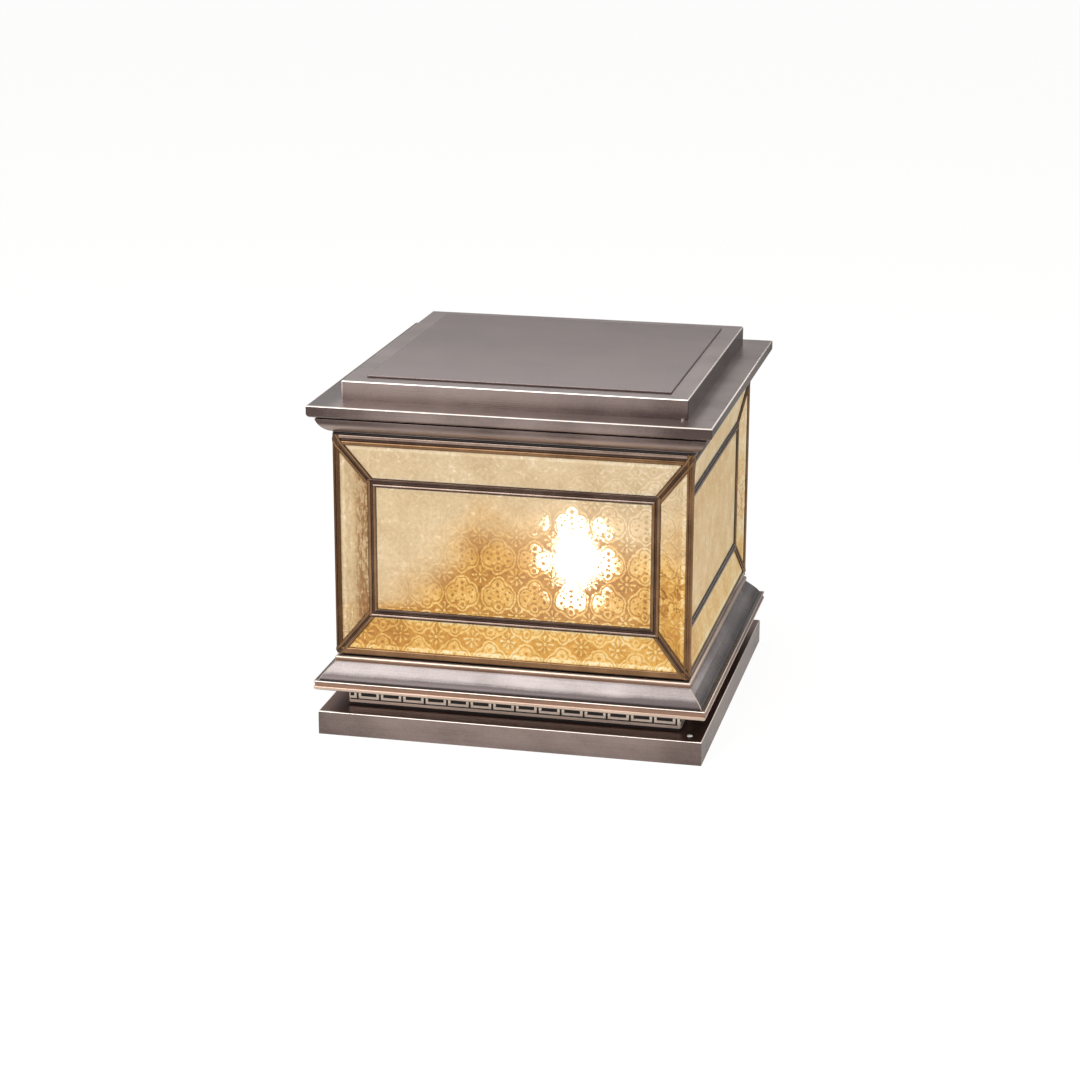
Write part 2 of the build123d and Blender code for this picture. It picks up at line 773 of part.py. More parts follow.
with BuildPart() as battery_contacts:
    for row in (-0.5, 0.5):
        row_y = battery_y + row * cell_spacing
        with Locations((battery_x - cavity_length / 2, row_y, cell_axis)):
            Box(contact_sheet, contact_width, contact_height, align=(Align.MIN, Align.CENTER, Align.CENTER))
            Cylinder(spring_diameter / 2, spring_space, rotation=(0, 90, 0), align=STAND)
        with Locations((battery_x + cavity_length / 2, row_y, cell_axis)):
            Box(contact_sheet, contact_width, contact_height, align=(Align.MAX, Align.CENTER, Align.CENTER))
save(battery_contacts.part, "battery_contacts")

# Controller case with bosses for the board and a hole for the button
case_bottom = roof_ceiling - case_height
case_floor = case_bottom + case_wall
button_rest = case_floor + button_clearance
switch_bottom = button_rest + button_flange_thickness + button_travel + button_clearance
board_bottom = switch_bottom + switch_height
with BuildPart() as controller_case:
    with Locations((controller_x, controller_y, case_bottom)):
        Box(case_length, case_width, case_height, align=STAND)
    with Locations((controller_x, controller_y, case_floor)):
        Box(
            case_length - 2 * case_wall,
            case_width - 2 * case_wall,
            case_height,
            align=STAND,
            mode=Mode.SUBTRACT,
        )
        boss_x = case_length - 2 * (case_wall + boss_inset)
        boss_y = case_width - 2 * (case_wall + boss_inset)
        with GridLocations(boss_x, boss_y, 2, 2):
            Cylinder(boss_diameter / 2, board_bottom - case_floor, align=STAND)
    with Locations((controller_x, controller_y, case_bottom)):
        Cylinder(button_diameter / 2 + button_clearance, case_wall, align=STAND, mode=Mode.SUBTRACT)
save(controller_case.part, "controller_case")

with BuildPart() as controller_board:
    with Locations((controller_x, controller_y, board_bottom)):
        Box(
            case_length - 2 * (case_wall + board_clearance),
            case_width - 2 * (case_wall + board_clearance),
            board_thickness,
            align=STAND,
        )
        Box(switch_size, switch_size, switch_height, align=HANG)
    with Locations((controller_x - part_offset, controller_y, board_bottom)):
        Box(chip_length, chip_width, chip_height, align=HANG)
    with Locations((controller_x + part_offset, controller_y, board_bottom)):
        Cylinder(capacitor_diameter / 2, capacitor_length, align=HANG)
save(controller_board.part, "controller_board")

# Push button, held in the case by its flange
with BuildPart() as push_button:
    with Locations((controller_x, controller_y, case_bottom - button_stand)):
        Cylinder(button_diameter / 2, button_rest - case_bottom + button_stand, align=STAND)
    with Locations((controller_x, controller_y, button_rest)):
        Cylinder(button_flange / 2, button_flange_thickness, align=STAND)
save(push_button.part, "push_button")
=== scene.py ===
"""Looks of the solar pillar light: finishes, figured glass, edges, cames, fixings, studio and camera."""
import json
import math

import bmesh
import bpy
from mathutils import Matrix, Vector


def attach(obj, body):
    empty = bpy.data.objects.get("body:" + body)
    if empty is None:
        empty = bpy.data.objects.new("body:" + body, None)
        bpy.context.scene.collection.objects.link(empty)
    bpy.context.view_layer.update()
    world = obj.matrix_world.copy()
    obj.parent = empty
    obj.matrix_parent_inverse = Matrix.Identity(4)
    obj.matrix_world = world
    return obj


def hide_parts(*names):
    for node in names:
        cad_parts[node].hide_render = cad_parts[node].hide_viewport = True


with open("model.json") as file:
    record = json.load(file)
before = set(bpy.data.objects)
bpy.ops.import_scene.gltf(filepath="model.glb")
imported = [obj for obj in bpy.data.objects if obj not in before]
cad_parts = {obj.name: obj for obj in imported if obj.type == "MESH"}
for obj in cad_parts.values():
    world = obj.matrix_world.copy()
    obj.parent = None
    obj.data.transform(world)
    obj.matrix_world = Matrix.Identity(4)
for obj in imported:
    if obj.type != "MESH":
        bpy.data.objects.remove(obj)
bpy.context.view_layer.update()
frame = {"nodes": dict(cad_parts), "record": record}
MM = 0.001
BODY_OF = {node: body for body, nodes in frame["record"]["behaviour"]["bodies"].items() for node in nodes}
SLOT_OF = {part["node"]: part["material_slot"] for part in frame["record"]["subparts"]}
SIDES = ("front", "right", "back", "left")
CORNERS = ("front_left", "front_right", "back_right", "back_left")

# Sizes of the part in millimetres; a side's field lies between its posts, its frame round the centre pane
BASE_TOP = 18.5
PLINTH_TOP = 60.0
LANTERN_HALF, LANTERN_LOW, LANTERN_HIGH = 135.0, 61.5, 232.0
FIELD_HALF, FIELD_LOW, FIELD_HIGH = 130.0, 66.5, 223.6
FRAME_HALF, FRAME_LOW, FRAME_HIGH = 110.4, 90.4, 198.3
CENTRE_HALF, CENTRE_LOW, CENTRE_HIGH = 103.6, 97.2, 191.5
HOUSING_LOW, HOUSING_HIGH = 256.0, 271.0


class Field:
    """A number that varies over a surface, kept as a socket of a node tree."""

    def __init__(self, tree, socket):
        self.tree = tree
        self.socket = socket

    def math(self, operation, *values, clamp=False):
        node = self.tree.nodes.new("ShaderNodeMath")
        node.operation = operation
        node.use_clamp = clamp
        for socket, value in zip(node.inputs, (self, *values)):
            connect(self.tree, value, socket)
        return Field(self.tree, node.outputs[0])

    def __add__(self, other):
        return self.math("ADD", other)

    def __sub__(self, other):
        return self.math("SUBTRACT", other)

    def __mul__(self, other):
        return self.math("MULTIPLY", other)

    def __truediv__(self, other):
        return self.math("DIVIDE", other)

    def __abs__(self):
        return self.math("ABSOLUTE")

    def __rsub__(self, other):
        return self * -1.0 + other

    __radd__ = __add__
    __rmul__ = __mul__

    def over(self, low, high):
        """Rises smoothly from 0 to 1 between two levels, or falls where low is above high."""
        node = self.tree.nodes.new("ShaderNodeMapRange")
        node.interpolation_type = "SMOOTHSTEP"
        falling = low > high
        node.inputs["From Min"].default_value = min(low, high)
        node.inputs["From Max"].default_value = max(low, high)
        node.inputs["To Min"].default_value = 1.0 if falling else 0.0
        node.inputs["To Max"].default_value = 0.0 if falling else 1.0
        connect(self.tree, self, node.inputs["Value"])
        return Field(self.tree, node.outputs["Result"])

    def to(self, other, share):
        """Mix of this number and another."""
        return self + (other - self) * share


def connect(tree, value, socket):
    """Links a field or a socket to a socket, or sets its value."""
    if isinstance(value, Field):
        tree.links.new(value.socket, socket)
    elif isinstance(value, bpy.types.NodeSocket):
        tree.links.new(value, socket)
    else:
        socket.default_value = value


def length(a, b):
    return (a * a + b * b).math("SQRT")


def most(*fields):
    """Largest of several fields."""
    top = fields[0]
    for field in fields[1:]:
        top = top.math("MAXIMUM", field)
    return top


def linear(colour):
    """Linear colour from sRGB levels of 0 to 255."""
    return (*[(c / 255 / 12.92) if c <= 10 else ((c / 255 + 0.055) / 1.055) ** 2.4 for c in colour], 1.0)


class Finish:
    """A material with one Principled shader, and the fields that drive it."""

    def __init__(self, name, **constants):
        self.material = bpy.data.materials.new(name)
        self.material.use_nodes = True
        self.tree = self.material.node_tree
        self.shader = self.tree.nodes["Principled BSDF"]
        for socket, value in constants.items():
            self.shader.inputs[socket.replace("_", " ")].default_value = value

    def place(self):
        """x, y and z on the object, in millimetres."""
        coordinates = self.tree.nodes.new("ShaderNodeTexCoord")
        split = self.tree.nodes.new("ShaderNodeSeparateXYZ")
        self.tree.links.new(coordinates.outputs["Object"], split.inputs[0])
        return [Field(self.tree, socket) * 1000.0 for socket in split.outputs]

    def normal(self):
        geometry = self.tree.nodes.new("ShaderNodeNewGeometry")
        split = self.tree.nodes.new("ShaderNodeSeparateXYZ")
        self.tree.links.new(geometry.outputs["True Normal"], split.inputs[0])
        return [Field(self.tree, socket) for socket in split.outputs]

    def noise(self, size, detail=3.0, roughness=0.55, seed=0.0, distortion=0.0):
        """Noise over the object with a grain size in millimetres, one for all axes or one for each."""
        sizes = size if isinstance(size, tuple) else (size, size, size)
        coordinates = self.tree.nodes.new("ShaderNodeTexCoord")
        mapping = self.tree.nodes.new("ShaderNodeMapping")
        mapping.inputs["Location"].default_value = (seed, seed * 0.7, seed * 1.3)
        mapping.inputs["Scale"].default_value = [1000.0 / axis_size for axis_size in sizes]
        texture = self.tree.nodes.new("ShaderNodeTexNoise")
        texture.inputs["Scale"].default_value = 1.0
        texture.inputs["Detail"].default_value = detail
        texture.inputs["Roughness"].default_value = roughness
        texture.inputs["Distortion"].default_value = distortion
        self.tree.links.new(coordinates.outputs["Object"], mapping.inputs["Vector"])
        self.tree.links.new(mapping.outputs[0], texture.inputs["Vector"])
        return Field(self.tree, texture.outputs["Fac"])

    def streaks(self, along, across):
        """Brushed streaks that run level along every face."""
        lengthwise = self.noise((along, across, across), detail=4.0)
        crosswise = self.noise((across, along, across), detail=4.0, seed=5.0)
        facing = abs(self.normal()[0]).over(0.6, 0.8)
        return lengthwise.to(crosswise, facing)

    def ramp(self, tone, stops):
        """Colour from a tone between 0 and 1, through stops of (place, sRGB colour)."""
        node = self.tree.nodes.new("ShaderNodeValToRGB")
        elements = node.color_ramp.elements
        elements[0].position = stops[0][0]
        elements[1].position = stops[-1][0]
        elements[0].color = linear(stops[0][1])
        elements[1].color = linear(stops[-1][1])
        for position, colour in stops[1:-1]:
            elements.new(position).color = linear(colour)
        connect(self.tree, tone, node.inputs["Fac"])
        return node.outputs["Color"]

    def blend(self, share, first, second):
        """Colour that is a share of the way from one colour to another."""
        node = self.tree.nodes.new("ShaderNodeMix")
        node.data_type = "RGBA"
        connect(self.tree, share, node.inputs["Factor"])
        colours = [socket for socket in node.inputs if socket.type == "RGBA"]
        for socket, colour in zip(colours, (first, second)):
            connect(self.tree, colour, socket)
        return next(socket for socket in node.outputs if socket.type == "RGBA")

    def drive(self, socket, value):
        connect(self.tree, value, self.shader.inputs[socket])

    def bump(self, height, distance):
        """Relief of a height field, its full depth given in millimetres."""
        node = self.tree.nodes.new("ShaderNodeBump")
        node.inputs["Distance"].default_value = distance * MM
        connect(self.tree, height, node.inputs["Height"])
        self.tree.links.new(node.outputs["Normal"], self.shader.inputs["Normal"])


finishes = {}


def bronze(name, stops, rough, grain, metallic=0.85, painted_end_shade=0.0, painted_light=None):
    """Satin bronze with level brush marks, cloudy tone and uneven gloss.

    painted_end_shade paints shade towards the corners of upright faces. painted_light paints light and shade
    by place, from x, z and how far the surface faces sideways and up.
    """
    finish = Finish(name, Metallic=metallic)
    brush = finish.streaks(120.0, 0.6)
    cloud = finish.noise((60.0, 60.0, 40.0), seed=2.0)
    speck = finish.noise(1.6, detail=2.0, seed=9.0)
    tone = 0.5 + (brush - 0.5) * 0.35 + (cloud - 0.5) * 0.8 + (speck - 0.5) * 0.2
    if painted_end_shade:
        x, y, _ = finish.place()
        across, _, upward = finish.normal()
        # Painted shade: darker towards the ends of upright faces
        end = abs(x).to(abs(y), abs(across).over(0.6, 0.8)).over(70.0, 155.0)
        tone = tone - end * abs(upward).over(0.8, 0.4) * painted_end_shade
    if painted_light:
        x, _, z = finish.place()
        across, _, upward = (abs(part) for part in finish.normal())
        # Painted light and shade by place
        tone = tone + painted_light(x, z, across.over(0.6, 0.9), upward.over(0.8, 0.95))
    finish.drive("Base Color", finish.ramp(tone, stops))
    finish.drive("Roughness", rough + (brush - 0.5) * 0.16 + (cloud - 0.5) * 0.12)
    finish.bump(brush + speck * 0.4, grain)
    finishes[name] = finish.material


def came_metal(name, stops, rough, painted_light=None):
    """Smooth rolled came: polished metal under an uneven tone, with painted light by place where it is given.
    """
    finish = Finish(name, Metallic=0.9)
    cloud = finish.noise(26.0, detail=4.0, seed=2.0)
    fine = finish.noise(2.2, seed=9.0)
    tone = cloud * 0.75 + fine * 0.25
    if painted_light:
        # Painted light by place
        tone = tone + painted_light(finish.place()[0], abs(finish.normal()[0]).over(0.6, 0.9))
    finish.drive("Base Color", finish.ramp(tone, stops))
    finish.drive("Roughness", rough + (cloud - 0.5) * 0.2 + (fine - 0.5) * 0.08)
    finish.bump(fine, 0.01)
    finishes[name] = finish.material


def plain(name, dark, light, rough, size, grain, metallic=0.0):
    """Moulded or pressed material with fine grain between two colours."""
    finish = Finish(name, Metallic=metallic)
    fine = finish.noise(size, detail=4.0)
    broad = finish.noise(size * 14, detail=2.0, seed=4.0)
    finish.drive("Base Color", finish.ramp(fine * 0.55 + broad * 0.45, [(0.25, dark), (0.75, light)]))
    finish.drive("Roughness", rough + (fine - 0.5) * 0.2)
    finish.bump(fine, grain)
    finishes[name] = finish.material


def solar_cell():
    """Dark blue silicon with fine silver fingers."""
    finish = Finish("solar_cell", Metallic=0.25)
    finger_pitch = 2.1
    finger = abs((finish.place()[1] / finger_pitch).math("FRACT") - 0.5).over(0.10, 0.05)
    flake = finish.noise(7.0, detail=1.0, roughness=0.3, distortion=1.5)
    silicon = [(0.1, (10, 16, 38)), (0.35, (22, 34, 70)), (0.6, (120, 126, 140)), (0.9, (196, 198, 204))]
    finish.drive("Base Color", finish.ramp(flake * 0.35 + finger * 0.6, silicon))
    finish.drive("Roughness", 0.22 + flake * 0.15)
    finishes["solar_cell"] = finish.material


def panel_glass():
    """Bronze-coated cover glass over the cells."""
    tint = linear((250, 230, 226))
    finish = Finish("panel_glass", IOR=2.3, Transmission_Weight=0.5, Specular_Tint=tint)
    smear = finish.noise(50.0, detail=4.0)
    fine = finish.streaks(80.0, 0.6)
    coating = [(0.2, (88, 72, 68)), (0.8, (116, 98, 94))]
    finish.drive("Base Color", finish.ramp(smear * 0.8 + fine * 0.2, coating))
    finish.drive("Roughness", 0.25 + (smear - 0.5) * 0.06 + (fine - 0.5) * 0.02)
    finishes["panel_glass"] = finish.material


def lamp_diffuser():
    """Frosted lamp globe that glows warm white."""
    glow = linear((255, 236, 205))
    finish = Finish("lamp_diffuser", Emission_Color=glow, Emission_Strength=22.0)
    frost = finish.noise(0.6)
    finish.drive("Base Color", finish.ramp(frost, [(0.2, (246, 240, 228)), (0.8, (255, 252, 244))]))
    finish.drive("Roughness", 0.45 + (frost - 0.5) * 0.2)
    finishes["lamp_diffuser"] = finish.material


# Plinth moulding as it shows, in millimetres
FLANGE_HALF = 118.0
FILLET_HALF = 135.5
LEDGE_HALF = 145.8
LEDGE_LEVEL = 43.1
LIP_HALF = 149.2
LIP_LOW = 35.7
NOSE_RADIUS = 2.2
NOSE_PROUD = 0.5
NOSE_DROP = 4.5
SLOPE_STRAIGHT = 3.2
ARRIS_RADIUS = 0.8
FASCIA_BACK = 0.5
FASCIA_DROP = 1.4
BEAD_RADIUS = 1.9
MOULDING_SHEET = 2.5
LIP_WALL = 3.7
MITRE_FLAT = 0.6
# Level of the painted highlight band on the crown moulding
CROWN_BAND = 238.0


def slab_painted_light(x, z, sideways, top):
    """Painted light on the upper face, with painted shade at both of its ends."""
    return top * (x.over(-118.0, -138.0) * -0.65 + x.over(118.0, 138.0) * -0.35 + 0.22) - 0.08


def housing_painted_light(x, z, sideways, top):
    """Painted light and shade: lighter up the front, darker to its right, and painted shade on the sides and
    the top.
    """
    upright = z.over(HOUSING_LOW, HOUSING_HIGH) * 0.12 + 0.06 + x.over(-60.0, 125.0) * -0.32
    return (1.0 - top) * upright - sideways * 0.42 - top * 0.12


def crown_painted_light(x, z, sideways, top):
    """A painted highlight band along the moulding, and painted shade above it."""
    return abs(z - CROWN_BAND).over(3.0, 0.8) * 0.4 - z.over(CROWN_BAND + 2.0, CROWN_BAND + 4.5) * 0.28


def plinth_painted_light(x, z, sideways, top):
    """Painted shade along the foot of the curve, under the nosing and to the right of the front, and painted
    light on the sides.
    """
    foot = z.over(LEDGE_LEVEL - 0.5, LEDGE_LEVEL - 0.1) * z.over(LEDGE_LEVEL + 7.4, LEDGE_LEVEL + 0.5)
    under_nose = abs(z - (PLINTH_TOP - 4.0)).over(2.0, 0.4)
    rightward = x.over(20.0, 130.0) * (1.0 - sideways)
    return foot * -0.75 + under_nose * -0.15 + sideways * 0.3 - rightward * 0.22 - 0.04


def post_painted_light(x, sideways):
    """Painted light: lighter to the right and on the sides."""
    return x.over(0.0, 100.0) * 0.2 + sideways * 0.3 - 0.28


BRONZE_STOPS = [(0.0, (80, 67, 64)), (0.5, (138, 123, 119)), (0.95, (165, 150, 146))]
# A lighter copy of the bronze for the plinth, as painted light
PLINTH_LIT_STOPS = [(0.0, (80, 72, 71)), (0.5, (146, 137, 135)), (0.95, (180, 173, 173))]
# Painted highlight along rounded edges and arrises, which also stands for wear
WEAR_HIGHLIGHT_STOPS = [(0.1, (222, 208, 198)), (0.9, (246, 236, 228))]
# Painted highlight on the nosing, the flats along the mitres and the lip's bead, given as rubbed metal
RUB_HIGHLIGHT_STOPS = [(0.1, (180, 159, 144)), (0.9, (212, 191, 175))]
LIP_STOPS = [(0.1, (116, 88, 74)), (0.9, (174, 142, 124))]
# Painted shade on the base's top under the plinth, on the ledge and under the lip's bead
SHADED_STOPS = [(0.1, (76, 50, 42)), (0.9, (126, 90, 78))]
KEY_STOPS = [(0.1, (196, 184, 172)), (0.9, (236, 226, 214))]
STEEL_STOPS = [(0.1, (176, 172, 166)), (0.9, (226, 222, 216))]
BRASS_STOPS = [(0.1, (196, 160, 92)), (0.9, (232, 200, 130))]
CAME_STOPS = [(0.25, (88, 63, 43)), (0.5, (120, 90, 63)), (0.75, (150, 116, 85))]
# Painted shade and painted highlight on the came, by strip of each bead
CAME_PAINTED_SHADE_STOPS = [(0.25, (48, 36, 30)), (0.5, (72, 56, 48)), (0.75, (94, 78, 68))]
CAME_PAINTED_HIGHLIGHT_STOPS = [(0.25, (114, 95, 85)), (0.5, (144, 123, 111)), (0.75, (170, 149, 137))]

# The slab, housing, crown and plinth bronzes carry painted light and shade by place
bronze("bronze", BRONZE_STOPS, 0.30, 0.03, painted_end_shade=0.25)
bronze("bronze_slab", BRONZE_STOPS, 0.30, 0.03, painted_end_shade=0.5, painted_light=slab_painted_light)
bronze("bronze_housing", BRONZE_STOPS, 0.30, 0.03, painted_end_shade=0.2, painted_light=housing_painted_light)
bronze("bronze_crown", BRONZE_STOPS, 0.30, 0.03, painted_end_shade=0.25, painted_light=crown_painted_light)
bronze("bronze_plinth", PLINTH_LIT_STOPS, 0.27, 0.02, painted_end_shade=0.15, painted_light=plinth_painted_light)
bronze("bronze_rub_highlight", RUB_HIGHLIGHT_STOPS, 0.30, 0.01)
bronze("bronze_lip", LIP_STOPS, 0.30, 0.01)
bronze("bronze_wear_highlight", WEAR_HIGHLIGHT_STOPS, 0.30, 0.01, metallic=1.0)
bronze("bronze_painted_shade", SHADED_STOPS, 0.34, 0.02)
bronze("frieze_line", KEY_STOPS, 0.32, 0.02)
bronze("steel", STEEL_STOPS, 0.25, 0.02)
bronze("contact_metal", BRASS_STOPS, 0.22, 0.02)
came_metal("post_bronze", CAME_STOPS, 0.22, painted_light=post_painted_light)
came_metal("came_bronze", CAME_STOPS, 0.20)
came_metal("came_painted_shade", CAME_PAINTED_SHADE_STOPS, 0.25)
came_metal("came_painted_highlight", CAME_PAINTED_HIGHLIGHT_STOPS, 0.24)
plain("frieze_dark", (14, 11, 10), (30, 24, 22), 0.50, size=3.0, grain=0.03)
plain("dark_sheet", (26, 21, 19), (52, 44, 40), 0.45, size=1.5, grain=0.02, metallic=0.6)
plain("rubber", (14, 13, 13), (30, 28, 27), 0.70, size=0.8, grain=0.03)
plain("white_plastic", (226, 224, 218), (242, 240, 235), 0.40, size=1.2, grain=0.01)
plain("dark_plastic", (24, 24, 26), (40, 40, 42), 0.50, size=0.7, grain=0.03)
plain("cell_wrap", (38, 96, 74), (50, 118, 92), 0.35, size=2.0, grain=0.01)
plain("board", (14, 70, 44), (26, 96, 62), 0.38, size=1.0, grain=0.02)
solar_cell()
panel_glass()
lamp_diffuser()

# Figure of the glass, in millimetres; a medallion's ovals and spots are mirrored left to right
PATTERN_WIDTH = 27.6
PATTERN_HEIGHT = 30.0
SPOTS = (
    (0.0, 7.6, 1.7), (0.0, 3.0, 1.3), (0.0, -1.4, 1.2), (0.9, -5.2, 1.0), (0.0, -9.3, 1.5),
    (5.3, 1.0, 1.0), (7.2, -2.8, 1.2), (8.2, 2.8, 0.9), (4.6, -6.8, 0.9), (3.4, 5.2, 0.8),
)
PETALS = 8.0


class Figure:
    """Pressed figure: rows of lobed medallions with florets between them, as fields from 0 to 1."""

    def __init__(self, u, v):
        """u and v count pattern widths and heights from the middle of one floret."""
        # Offsets from the nearest medallion and from the nearest floret, in millimetres
        side = abs((u.math("FRACT") - 0.5) * PATTERN_WIDTH)
        up = (v.math("FRACT") - 0.5) * PATTERN_HEIGHT
        p = ((u + 0.5).math("FRACT") - 0.5) * PATTERN_WIDTH
        q = ((v + 0.5).math("FRACT") - 0.5) * PATTERN_HEIGHT

        def oval(across, level, wide, high):
            offset = length((side - across) / wide, (up - level) / high)
            return (1.0 - offset) * (0.5 * (wide + high))

        def spot(across, level, size):
            return length(side - across, up - level).over(size * 1.25, size * 0.55)

        def line(distance, width):
            return abs(distance).over(width, 0.25 * width)

        # A medallion is an arched crest, two wings and a foot: a pale band, a dark line and a spotted heart
        crest = oval(0.0, 7.4, 7.0, 6.9)
        waist = oval(0.0, 0.0, 6.5, 9.0)
        wing = oval(6.7, -1.2, 6.7, 9.8)
        foot = oval(0.0, -9.4, 5.2, 5.4)
        inside = most(crest, waist).math("SMOOTH_MAX", wing, 3.0).math("SMOOTH_MAX", foot, 4.5)
        body = inside.over(-0.4, 0.4)
        self.gap = 1.0 - body
        self.outline = inside.over(-0.3, 0.3) * inside.over(1.8, 1.1)
        self.heart = inside.over(2.0, 2.9)
        self.ring = most(line(inside - 3.2, 0.5), line(inside - 5.2, 0.6))
        self.spots = most(*[spot(*place) for place in SPOTS]) * self.heart
        radius = length(p, q)
        petal = (q.math("ARCTAN2", p) * PETALS).math("COSINE") * 0.8 - 0.25 + radius * 0.07
        reach = radius.over(6.9, 5.6) * radius.over(1.6, 2.8)
        petals = most(petal.math("MULTIPLY", reach * 1.6, clamp=True), radius.over(1.4, 0.8))
        self.floret = petals * self.gap
        self.shade = (
            0.14 + body * 0.06 + self.outline * 0.4 + self.heart * 0.3 + self.ring * 0.1
            + self.floret * 0.52 - self.spots * 0.42
        )
        self.relief = (
            self.outline * 0.6 + self.ring * 0.2 + self.heart * 0.5 + self.floret * 0.7 - self.spots * 0.4
        )

    def scatter(self):
        """How strongly each place shows the painted glow of the lamp behind it."""
        return self.heart * 0.75 - self.gap * 0.2 - self.spots * 1.1 + self.outline * 0.2 + self.floret * 0.25


GOLD = [
    (0.0, (140, 84, 22)), (0.3, (188, 129, 45)), (0.5, (216, 162, 72)), (0.7, (240, 197, 114)),
    (1.0, (255, 240, 196)),
]
# Colours of the painted pale reflection on the glass
PALE_REFLECTION_COLOURS = [
    (0.0, (176, 146, 102)), (0.3, (202, 174, 132)), (0.5, (216, 190, 148)), (0.7, (230, 206, 168)),
    (1.0, (250, 238, 214)),
]
PAINTED_GLOW_COLOUR = (255, 246, 226)
# Reach of the painted glow along and up the pane, in millimetres
GLOW_WIDE = 31.0
GLOW_HIGH = 41.0


def figured_glass(name, floret, rims, lift=0.0, clear=0.9, streaked=False, veined=False, lamp=None):
    """Amber figured glass, its figure clear low down and lost in a painted pale reflection above and to the
    left.

    floret is the middle of one floret on the pane and rims are the lines along which it is lighter. lift
    lightens the whole pane and clear is how strongly its figure shows. A streaked pane is rubbed along its
    inner edge, a veined one has dark veins, and lamp is the middle of a glow painted on the pane as emission.
    """
    finish = Finish(name, IOR=1.5)
    x, y, z = finish.place()
    sideways = abs(finish.normal()[0]).over(0.6, 0.8)
    along = x.to(y, sideways)
    wander = finish.noise(7.0, roughness=0.65, seed=3.0) - 0.5
    rise = finish.noise(7.0, roughness=0.65, seed=8.0) - 0.5
    figure = Figure(
        (along - floret[0] + wander * 4.0) / PATTERN_WIDTH, (z - floret[1] + rise * 4.0) / PATTERN_HEIGHT
    )
    # Painted pale reflection above and to the left, which also fades the figure
    drift = finish.noise((50.0, 50.0, 34.0), detail=4.0, seed=6.0) - 0.5
    leftward = (along * -1.0 - 32.0).math("MAXIMUM", 0.0) * z.over(84.0, 108.0)
    rightward = along.math("MAXIMUM", 0.0)
    pale_reflection = (z + leftward * 1.1 + drift * 60.0).over(126.0, 202.0)
    faded = (z + leftward * 1.1 - rightward * 0.65 + drift * 40.0).over(112.0, 190.0)
    shown = (1.0 - faded * 0.8) * (1.0 - sideways * 0.9)

    mottle = finish.noise(3.0, detail=5.0, seed=1.0)
    grain = finish.noise(0.9, detail=2.0, seed=7.0)
    cloud = finish.noise((26.0, 26.0, 20.0), detail=4.0, seed=12.0)
    filigree = finish.noise(1.9, roughness=0.65, seed=21.0, distortion=1.0) - 0.5
    patch = finish.noise(13.0, detail=2.0, seed=25.0)
    fleck = finish.noise(5.0, seed=31.0).over(0.56, 0.72)
    tone = 0.5 + lift + (figure.shade - 0.4 + filigree * 0.8) * shown * patch.over(0.05, 0.5) * clear
    tone = tone + (mottle - 0.5) * 0.5 + (grain - 0.5) * 0.16 + (cloud - 0.5) * 0.6
    tone = tone + fleck * (1.0 - shown) * 0.3
    # Painted light: the side panes are lighter, less so low down
    tone = tone + sideways * (0.24 - z.over(104.0, 84.0) * 0.12)
    tone = tone + along.over(50.0, 100.0) * z.over(84.0, 104.0) * 0.07
    for axis, level in rims:
        place = z if axis == "z" else abs(along)
        tone = tone + abs(place - level).over(2.0, 0.6) * 0.2
    if veined:
        web = finish.noise(11.0, detail=4.0, seed=41.0, distortion=0.6) - 0.5
        tone = tone - abs(web).over(0.05, 0.01) * z.over(170.0, 140.0) * z.over(96.0, 116.0) * 0.34
    if streaked:
        rub = finish.noise((2.0, 2.0, 6.0), detail=5.0, roughness=0.75, seed=15.0)
        streak = abs(along).over(123.0, 114.0) * rub.over(0.42, 0.58)
        tone = tone + 0.1 - streak + (rub - 0.5) * 1.2
        pale_reflection = pale_reflection.math("MAXIMUM", 0.7) * (1.0 - streak * 0.8)
    else:
        tone = tone - along.over(-40.0, -110.0) * z.over(100.0, 84.0) * 0.2
    # The side panes take the painted pale reflection as they rise
    reflection_share = pale_reflection.to(z.over(60.0, 130.0) * 0.45, sideways)
    finish.drive("Base Color", finish.blend(reflection_share, finish.ramp(tone, GOLD), finish.ramp(tone, PALE_REFLECTION_COLOURS)))
    finish.drive("Transmission Weight", 0.16 + (figure.shade - 0.4) * shown * 0.12 + (mottle - 0.5) * 0.12)
    finish.drive("Roughness", 0.4 + (mottle - 0.5) * 0.2)
    # Painted glow: the lamp's light painted on the pane as emission, brightest in the pale parts of the
    # figure
    if lamp:
        far = length((along - lamp[0]) / GLOW_WIDE, (z - lamp[1]) / GLOW_HIGH)
        painted_sparkle = 2.2 - far * 2.2 + figure.scatter() + filigree * 2.0
        finish.shader.inputs["Emission Color"].default_value = linear(PAINTED_GLOW_COLOUR)
        finish.drive("Emission Strength", painted_sparkle.over(0.55, 1.05) * 1.3 + far.over(2.4, 0.3) * 0.1)
    finish.bump(figure.relief * shown + filigree * 0.3 + mottle * 0.4 + grain * 0.15, 0.6)
    return finish.material


# The glass is lighter in a line along its cames, which lies this far inside the edge of the field
RIM = 1.8
CENTRE_RIMS = (("z", CENTRE_LOW), ("z", CENTRE_HIGH), ("along", CENTRE_HALF))
BOTTOM_RIMS = (("z", FIELD_LOW + RIM), ("z", FRAME_LOW))
TOP_RIMS = (("z", FRAME_HIGH), ("z", FIELD_HIGH - RIM))
SIDE_RIMS = (("along", FRAME_HALF), ("along", FIELD_HALF - RIM))
CENTRE_FLORET = (3.0, 129.5)
